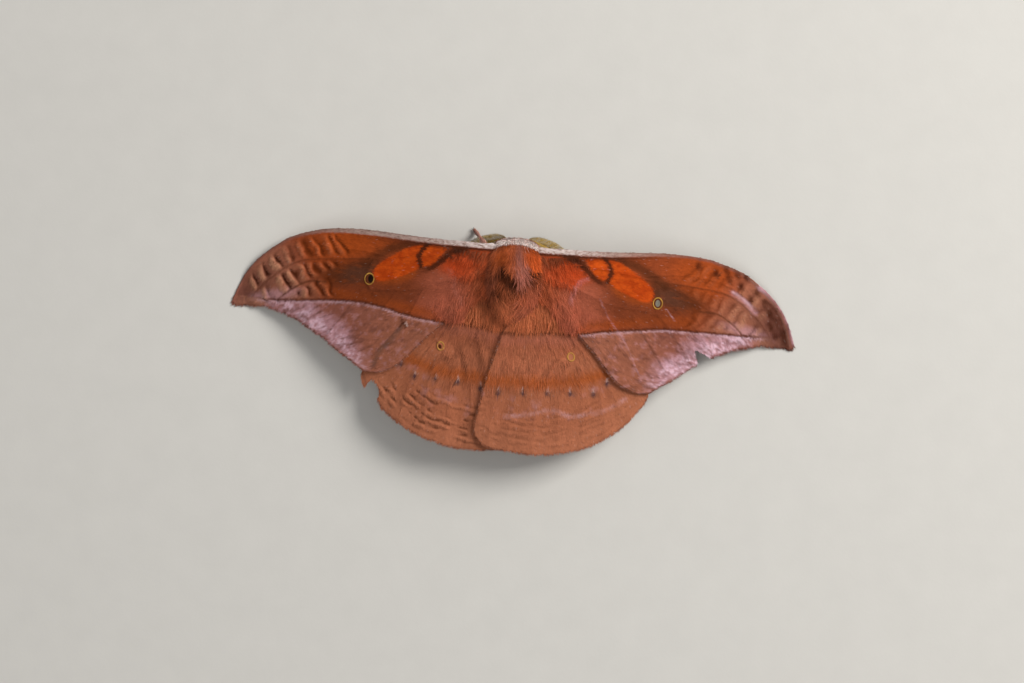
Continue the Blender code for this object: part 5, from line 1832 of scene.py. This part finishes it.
@dataclass
class Eye:
    """A dome of lenses set into the side of the head."""

    side: Side
    centre: tuple[float, float, float] = (1.6, 0.8, 3.15)
    radius: float = 0.95

    def build(self) -> None:
        """Makes the eye as a ball, a little flattened towards the head."""
        theta = np.linspace(0.05, np.pi - 0.05, 40)[:, None]
        phi = np.linspace(0, 2 * np.pi, 64, endpoint=False)[None, :]
        ball = np.dstack([-np.sin(theta) * np.sin(phi) * 0.95, -np.cos(theta) * np.ones_like(phi),
                          np.sin(theta) * np.cos(phi)])
        points = np.array(self.centre) + self.radius * ball
        # The eye is painted lighter towards its top: painted light from above.
        shade = 0.7 + 0.5 * ramp(-0.4, 0.8, ball[..., 2])
        mould = Mould(self.side)
        mould.add_tube(points, shade[..., None] * linear(Tone.EYE_DARK.value))
        piece = mould.piece(f"lens_dome_{self.side.word}", EYE_LENSES, "eye_cuticle")
        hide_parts(f"eye_{self.side.word}")


@dataclass(frozen=True)
class Leg:
    """A leg: thigh, shin and a foot of five joints, with two claws."""

    name: str
    side: Side
    joints: Points
    thigh_radius: float = 0.42
    shin_radius: float = 0.3
    foot_radius: float = 0.17
    hairs: int = 1250

    def build(self, coat: Mould, claws: Mould) -> None:
        """Makes the leg's skin and adds its hair and claws to the shared pieces.

        Thigh and shin are spindles, thickest a third of the way along, and each joint of the
        foot is a small cone that widens to its end.

        Args:
            coat: Where the hair is gathered.
            claws: Where the claws are gathered.
        """
        root, knee, shin_end, heel, toe = (np.array(j, float) for j in self.joints)
        heel[2] = toe[2] = self.foot_radius + 0.02
        bow = np.array([0, 0, 0.25])
        mould = Mould(self.side)
        share = np.linspace(0, 1, 16)
        spindle = np.interp(share, [0, 0.06, 0.35, 0.9, 1], [0.35, 0.8, 1.0, 0.72, 0.4])
        parts = [(smooth_path([root, (root + knee) / 2 + bow, knee], 16),
                  self.thigh_radius * spindle, 1.0, 0.5),
                 (smooth_path([knee, (knee + shin_end) / 2 + bow * 0.4, shin_end], 16),
                  self.shin_radius * spindle, 0.75, 0.45)]
        bell = np.interp(share, [0, 0.08, 0.8, 0.95, 1], [0.4, 0.62, 0.95, 1.0, 0.5])
        parts.append((smooth_path([shin_end, (shin_end + heel) / 2 + bow * 0.3, heel], 16),
                      self.foot_radius * 1.1 * bell, 0.4, 0.1))
        for k in range(4):
            start, stop = heel + (toe - heel) * k / 4, heel + (toe - heel) * (k + 1) / 4
            parts.append((smooth_path([start, (start + stop) / 2, stop], 16),
                          self.foot_radius * (1 - 0.07 * k) * bell, 0.3, 0.06))
        for path, radii, hair, portion in parts:
            rings = limb_rings(path, radii, 14)
            tone = linear(Tone.LEG_PINK.value) * (0.75 + 0.4 * DICE.random())
            mould.add_tube(rings, tone)
            roots = Patch(rings, True).scatter(int(self.hairs * portion))
            roots = roots.keep(roots.position[:, 2] > 0.1)
            paint = np.tile(linear(Tone.LEG_PINK.value), (len(roots.position), 1))
            pale = DICE.random(len(paint)) > 0.7
            paint[pale] = linear(Tone.LEG_PALE.value)
            LEG_HAIR.grow(coat, roots, paint, hair)
        piece = mould.piece(f"{self.name}_skin", LEG_SCALES, "leg_scales")
        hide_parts(self.name)
        forward = unit(toe - heel)
        for turn in (-1, 1):
            beside = np.array([-forward[1], forward[0], 0]) * turn
            tip = toe + forward * 0.42 + beside * 0.2 - [0, 0, 0.13]
            path = smooth_path([toe, toe + forward * 0.2 + beside * 0.13 + [0, 0, 0.06], tip], 9)
            claws.add_tube(limb_rings(path, np.linspace(0.06, 0.012, 9), 8),
                           linear(Tone.CLAW_HORN.value))


@dataclass
class Legs:
    """All six legs with their shared hair and claws."""

    legs: tuple[Leg, ...] = (
        Leg("leg_fore_left", Side.LEFT, ((1.7, 3.6, 3.4), (4.4, 2.6, 5.0), (6.5, -0.3, 3.3),
                                         (7.5, -1.5, 0.4), (7.95, -1.95, 0.16)),
            shin_radius=0.62, foot_radius=0.36),
        Leg("leg_fore_right", Side.RIGHT, ((1.7, 4.3, 3.0), (4.9, 4.4, 4.5), (7.3, 4.6, 1.7),
                                           (8.2, 4.9, 0.2), (10.2, 5.6, 0.18))),
        Leg("leg_mid_left", Side.LEFT, ((1.9, 6.9, 2.9), (5.6, 7.2, 4.4), (8.8, 8.0, 1.5),
                                        (9.8, 8.4, 0.2), (12.4, 9.6, 0.18))),
        Leg("leg_mid_right", Side.RIGHT, ((1.9, 7.3, 2.9), (5.5, 7.9, 4.4), (8.6, 9.0, 1.5),
                                          (9.6, 9.4, 0.2), (12.1, 10.8, 0.18))),
        Leg("leg_hind_left", Side.LEFT, ((1.9, 9.6, 2.9), (5.2, 11.6, 4.2), (7.4, 14.6, 1.4),
                                         (8.0, 15.6, 0.2), (9.2, 18.4, 0.18))),
        Leg("leg_hind_right", Side.RIGHT, ((1.9, 9.8, 2.9), (5.0, 12.1, 4.2), (7.1, 15.2, 1.4),
                                           (7.6, 16.2, 0.2), (8.6, 19.1, 0.18))))

    def build(self) -> None:
        """Makes the legs, then one hair piece and one claw piece for each side."""
        for side in Side:
            coat, claws = Mould(side, smooth=False), Mould(side)
            for leg in self.legs:
                if leg.side is side:
                    leg.build(coat, claws)
            coat.piece(f"leg_hair_{side.word}", HAIR, "leg_scales", coat=True)
            claws.piece(f"claws_{side.word}", HORN_DARK, "leg_scales")


FORE_LEADING = (
    (2.2, 1.1), (4.2, 0.6), (6.0, 0.62), (9.0, 0.55), (13.0, 0.5), (17.0, 0.35), (21.0, 0.1),
    (25.0, -0.15), (28.0, -0.2), (31.0, -0.15), (34.5, 0.2), (36.5, 0.7), (38.5, 1.3),
    (40.3, 2.0), (42.0, 3.0), (44.0, 4.5), (45.7, 6.0), (47.1, 7.6), (48.3, 9.4), (49.3, 11.6),
    (50.0, 13.5), (50.3, 14.4))
FORE_MARGIN = (
    (50.3, 14.4), (49.9, 14.95), (49.3, 15.1), (48.3, 14.95), (46.5, 14.9), (44.6, 14.85),
    (43.0, 15.2), (41.2, 15.7), (39.4, 16.3), (37.6, 17.1), (35.7, 18.2), (34.0, 19.2),
    (32.7, 20.0), (31.0, 21.3), (29.3, 22.4), (27.6, 23.5), (25.8, 24.75), (24.6, 25.0))
FORE_REAR = (
    (3.2, 8.2), (7.0, 10.4), (11.6, 14.7), (13.1, 16.3), (14.5, 17.6), (16.1, 19.3),
    (17.5, 21.0), (19.0, 22.6), (20.4, 23.8), (22.2, 24.6), (23.4, 24.95), (24.6, 25.0))
FORE_ROOT = ((2.2, 1.1), (2.4, 4.8), (3.2, 8.2))
FORE_VEINS = (
    ((4.5, 2.2), (12.0, 1.9), (20.0, 1.6), (28.0, 1.0)), RADIAL_VEIN,
    ((22.0, 4.3), (30.0, 3.4), (37.0, 4.2), (42.0, 6.6), (45.9, 10.2)), MIDDLE_VEIN,
    ((25.0, 4.9), (26.3, 8.6), (24.3, 11.2)), ((26.1, 7.6), (31.0, 10.6), (36.5, 16.6)),
    ((4.5, 4.6), (11.0, 7.2), (18.0, 9.8), (25.0, 10.5), (28.1, 13.0), (32.8, 19.2)),
    ((20.5, 10.5), (25.1, 16.3), (28.2, 20.8)),
    ((14.5, 8.6), (16.2, 10.3), (18.8, 15.9), (23.8, 21.7)),
    ((5.0, 6.5), (10.0, 11.2), (16.0, 17.4), (21.0, 23.2)))
HIND_LEADING = (
    (1.6, 7.0), (5.0, 7.6), (9.0, 9.2), (15.0, 12.8), (21.0, 17.8), (24.4, 22.2), (25.4, 24.2),
    (25.6, 25.3))
HIND_MARGIN = (
    (25.6, 25.3), (25.1, 26.5), (24.3, 27.8), (22.6, 29.9), (21.0, 31.6), (19.3, 33.0),
    (17.6, 34.1), (15.9, 35.1), (14.2, 35.8), (12.4, 36.3), (10.7, 36.8), (8.0, 37.2),
    (5.3, 37.4), (3.5, 37.3), (1.7, 37.1), (-0.1, 36.9), (-1.9, 36.7), (-3.0, 36.4),
    (-3.7, 36.0), (-4.1, 35.5))
HIND_REAR = (
    (0.8, 12.9), (-0.4, 14.8), (-1.2, 16.4), (-1.6, 17.9), (-2.3, 20.3), (-3.0, 23.0),
    (-3.4, 24.8), (-3.9, 27.0), (-4.1, 28.4), (-4.4, 30.0), (-4.7, 31.7), (-4.9, 33.0),
    (-4.75, 34.3), (-4.1, 35.5))
HIND_ROOT = ((1.6, 7.0), (1.1, 9.9), (0.8, 12.9))
HIND_VEINS = (
    ((4.5, 10.0), (12.0, 14.0), (20.0, 20.0), (24.5, 25.2)),
    ((4.5, 10.5), (9.0, 14.0), (13.0, 18.0), (18.0, 24.0), (21.8, 29.6)),
    ((13.0, 18.0), (16.5, 25.0), (18.6, 32.8)), ((13.0, 18.0), (11.5, 20.0), (9.0, 20.3)),
    ((11.9, 19.6), (13.6, 26.0), (14.4, 35.0)),
    ((4.0, 11.0), (6.5, 16.0), (9.0, 20.3), (9.7, 27.0), (9.9, 36.2)),
    ((8.0, 18.3), (6.0, 27.0), (5.4, 36.7)), ((5.8, 15.0), (2.2, 26.0), (0.8, 36.3)),
    ((3.0, 12.5), (-0.5, 22.0), (-2.6, 35.5)))
NOTCH = Tear(0.51, 0.617, (
    (36.6, 17.9), (35.1, 17.2), (34.1, 16.8), (33.1, 16.0), (33.4, 16.6), (33.3, 17.4),
    (33.5, 18.1), (33.9, 18.6), (33.8, 19.3)))
CORNER_TEAR = Tear(0.0, 0.3, (
    (25.9, 25.2), (25.7, 26.6), (25.2, 27.9), (24.6, 27.0), (24.1, 26.2), (23.2, 26.6),
    (22.5, 27.8), (22.3, 28.9), (22.6, 30.0), (21.8, 31.3), (20.2, 32.6), (18.4, 33.8)))


# What each forewing shows alone: wear and the pale arc near its root, with painted shade and light:
# on the left, shade in a crumpled fold and in the valley beside the thorax; on the right, a
# highlight on the creased front edge of the tip and shade in the valley inside it.
LEFT_MARKS = (
    Mark(Tone.FUR_PINK, 0.5, ((11.6, 5.6), (10.3, 6.9), (10.4, 8.5), (8.9, 9.9)), 0.2, 0.4),
    # A grey streak along a crumpled fold: painted shade in the crease.
    Mark(Tone.SMOKE_GREY, 0.7, ((18.9, 15.9), (20.0, 17.6), (21.3, 19.4), (22.8, 21.2),
                                (23.6, 23.6)), 0.4, 0.45),
    # A dark line along the root: painted shade in the valley between the wing and the thorax.
    Mark(Tone.FUR_DARK, 0.9, ((6.0, 4.0), (5.6, 6.5), (5.3, 10.0), (5.1, 14.8)), 0.5, 0.5),
    Mark(Tone.BAR, 0.95, ((19.3, 14.9), (19.0, 15.8), (18.5, 16.5)), 0.2, 0.16),
    Mark(Tone.BAR, 0.8, ((19.1, 15.8), (19.5, 16.4)), 0.2, 0.16),
    Mark(Tone.FROST, 0.6, ((18.5, 15.7), (18.2, 16.3)), 0.12, 0.12))
RIGHT_MARKS = (
    Mark(Tone.LILAC, 0.3, ((12.9, 5.4), (11.4, 6.2), (10.6, 7.4), (10.1, 9.1)), 0.2, 0.4),
    Mark(Tone.SMOKE, 0.4, ((12.0, 11.5), (14.2, 13.3), (16.6, 12.6)), 0.16, 0.3),
    Mark(Tone.LILAC, 0.4, ((15.4, 8.7), (17.2, 12.0), (20.7, 16.4), (23.9, 22.6)), 0.05, 0.14),
    Mark(Tone.SMOKE, 0.5, ((19.3, 8.6), (22.7, 13.1), (27.0, 19.0)), 0.05, 0.14),
    Mark(Tone.LILAC_PALE, 0.4, ((27.4, 9.6), (29.2, 11.6)), 0.06, 0.12),
    Mark(Tone.SMOKE, 0.5, ((25.6, 10.4), (28.1, 12.9)), 0.06, 0.14),
    Mark(Tone.LILAC, 0.5, ((39.2, 5.7), (41.6, 7.2), (43.6, 8.9)), 0.35, 0.5),
    Mark(Tone.LILAC_PALE, 0.55, ((39.3, 5.6), (41.0, 6.5), (42.8, 7.9)), 0.12, 0.35),
    # The tip is creased: a painted highlight along its front edge and painted shade in the valley
    # just inside it.
    Mark(Tone.LILAC, 0.7, ((44.0, 4.3), (46.6, 5.9), (48.7, 8.2), (50.2, 10.8), (51.2, 13.6)),
         0.45, 0.4),
    Mark(Tone.COSTA_LINE, 0.95, ((45.2, 6.6), (47.2, 8.2), (48.7, 10.8), (49.9, 14.5)),
         0.3, 0.3),
    Mark(Tone.COSTA_LINE, 0.85, ((46.0, 8.2), (47.7, 10.6), (48.9, 12.8), (49.6, 14.8)), 0.5, 0.6))
BLOTCHES = (
    (32.7, 1.6), (35.9, 2.5), (37.7, 1.7), (38.4, 3.4), (39.7, 2.3), (41.4, 2.8), (40.6, 4.4),
    (43.6, 5.3), (42.5, 6.7), (45.0, 7.1), (46.2, 8.9), (46.6, 11.2), (47.6, 12.7))


def make_wings() -> None:
    """Makes the four wings, each with its own wear, windows and strength of markings."""
    fore = dict(leading=FORE_LEADING, rear=FORE_REAR, root=FORE_ROOT, margin=FORE_MARGIN,
                veins=FORE_VEINS)
    hind = dict(leading=HIND_LEADING, rear=HIND_REAR, root=HIND_ROOT, margin=HIND_MARGIN,
                veins=HIND_VEINS)
    wings = (
        HindWing(Side.LEFT, **hind, tears=(CORNER_TEAR,), middle_drop=0.75, seed=51,
                 cross_line=LEFT_CROSS_LINE,
                 ocellus=Ocellus((12.1, 19.4), (0.72, 0.9), 10, 0.25, (0.1, 0.1), (0.3, 0.38),
                                 Tone.HIND, Tone.SMOKE),
                 spots=((18.9, 23.0), (16.3, 25.1), (12.5, 25.2), (8.5, 25.4), (4.5, 26.2))),
        HindWing(Side.RIGHT, **hind, seed=67, ripple_strength=0.3, hair_painted_light=1.25,
                 cross_line=RIGHT_CROSS_LINE,
                 marks=(Mark(Tone.LILAC_PALE, 0.22, ((0.3, 30.9), (4.5, 30.2), (8.2, 29.1),
                                                     (12.0, 29.9), (15.6, 29.2), (18.5, 28.2),
                                                     (21.4, 26.1)), 0.2, 0.5),),
                 ocellus=Ocellus((11.2, 19.5), (0.72, 0.9), -20, 0.27, (0.0, 0.0),
                                 (0.36, 0.44), Tone.HIND, Tone.HIND_PALE),
                 spots=((18.0, 23.6), (15.7, 25.8), (11.6, 25.9), (7.5, 26.1), (3.2, 26.4),
                        (-1.1, 26.6))),
        ForeWing(Side.LEFT, **fore, seed=23, cross_line=LEFT_CROSS_LINE, marks=LEFT_MARKS,
                 ripple_rise=0.17, ocellus=Ocellus((25.75, 8.5), pupil=(-0.25, -0.05))),
        ForeWing(Side.RIGHT, **fore, tears=(NOTCH,), seed=37, ripple_strength=0.6,
                 cross_line=RIGHT_CROSS_LINE, marks=RIGHT_MARKS, longer=0.9,
                 lilac_strength=1.3, ember=(34.0, 3.6, 0.6), hair_painted_light=1.2,
                 rust=0.3, blotches=BLOTCHES, frost_fade=(14.0, 32.0), dusk=(43.5, 47.5, 0.8),
                 ocellus=Ocellus((25.9, 8.75), pupil_tone=Tone.GLASS_GREY,
                                 pupil_radii=(0.42, 0.62))))
    for wing in wings:
        wing.build()
        log.info("%s is done", wing.name)


@dataclass
class Studio:
    """Pale floor, soft lights and the camera, in millimetres and degrees."""

    picture_turn: float = 4.6
    picture_middle: tuple[float, float] = (-0.52, 0.0)
    camera_height: float = 700.0
    mean_height: float = 5.0
    shown_width: float = 1024 / 5.6
    sensor: float = 36.0
    floor_half: float = 600.0

    def axes(self) -> tuple[Array, Array]:
        """Gives the directions to the right and to the top of the picture."""
        c, s = math.cos(math.radians(self.picture_turn)), math.sin(math.radians(self.picture_turn))
        return np.array([-c, -s, 0]), np.array([s, -c, 0])

    def hang(self, name: str, data: bpy.types.ID, axes: tuple[Array, ...],
             place: Array) -> bpy.types.Object:
        """Puts a camera or a lamp in the room.

        Args:
            name: The object's name.
            data: The camera or the light.
            axes: Unit directions of its right, its top and its back.
            place: Where it hangs.

        Returns:
            The object.
        """
        turn = np.eye(4)
        turn[:3, :3], turn[:3, 3] = np.column_stack(axes), place * MM
        ob = bpy.data.objects.new(name, data)
        ob.matrix_world = Matrix(turn.tolist())
        bpy.context.collection.objects.link(ob)
        return ob

    def camera(self) -> None:
        """Looks straight down, with the lens that frames the picture's width."""
        data = bpy.data.cameras.new("camera")
        data.sensor_width = self.sensor
        data.lens = self.sensor * (self.camera_height - self.mean_height) / self.shown_width
        data.clip_start, data.clip_end = 0.01, 10
        data.dof.use_dof = False
        right, top = self.axes()
        place = np.array([*self.picture_middle, self.camera_height])
        bpy.context.scene.camera = self.hang("camera", data, (right, top, np.cross(right, top)),
                                             place)

    def lamp(self, name: str, place: tuple[float, float, float], size: float,
             power: float) -> None:
        """Hangs a square soft lamp that is aimed at the moth.

        Args:
            name: The lamp's name.
            place: How far to the picture's right, to its top and up it hangs.
            size: Its side.
            power: Its light in watts.
        """
        data = bpy.data.lights.new(name, "AREA")
        data.size, data.energy = size * MM, power
        right, top = self.axes()
        spot = right * place[0] + top * place[1] + np.array([0, 0, place[2]])
        back = unit(spot)
        across = unit(np.cross(np.array([0.0, 1.0, 0.0]), back))
        self.hang(name, data, (across, np.cross(back, across), back), spot)

    def floor(self) -> None:
        """Lays a pale matt floor under the moth."""
        n = 9
        x = np.linspace(-self.floor_half, self.floor_half, n)
        points = np.dstack([*np.meshgrid(x, x, indexing="ij"), np.full((n, n), -0.02)])
        points[..., 1] += MIDDLE_ALONG
        mould = Mould()
        mould.add(points, [grid_faces(n, n)], linear(Tone.FLOOR_GREY.value))
        mould.mesh_object("floor", FLOOR_PAINT)

    def build(self) -> None:
        """Sets up the room."""
        scene = bpy.context.scene
        scene.view_settings.view_transform = "Standard"
        world = bpy.data.worlds.new("room")
        world.use_nodes = True
        world.node_tree.nodes["Background"].inputs["Color"].default_value = (0.9, 0.93, 1.0, 1)
        world.node_tree.nodes["Background"].inputs["Strength"].default_value = 0.3
        scene.world = world
        self.floor()
        self.lamp("window", (560, 330, 440), 380, 8.4)
        self.lamp("ceiling", (-200, -250, 900), 700, 2.2)
        self.camera()


# The floor is rolled with matt wall paint, and its tooth is too fine to see.
FLOOR_PAINT = Finish("rolled_matt_paint", roughness=0.85, specular=0.2, fleck_size=6.0,
                     fleck_dark=0.985, fleck_light=1.015, relief_size=0.6, relief_depth=0.01)


def main() -> None:
    """Builds the moth part by part, then the room."""
    logging.basicConfig(level=logging.INFO, format="%(message)s")
    Body().build()
    log.info("body is done")
    for side in Side:
        Antenna(side).build()
        Eye(side).build()
    Legs().build()
    make_wings()
    Studio().build()


if __name__ == "__main__":
    main()
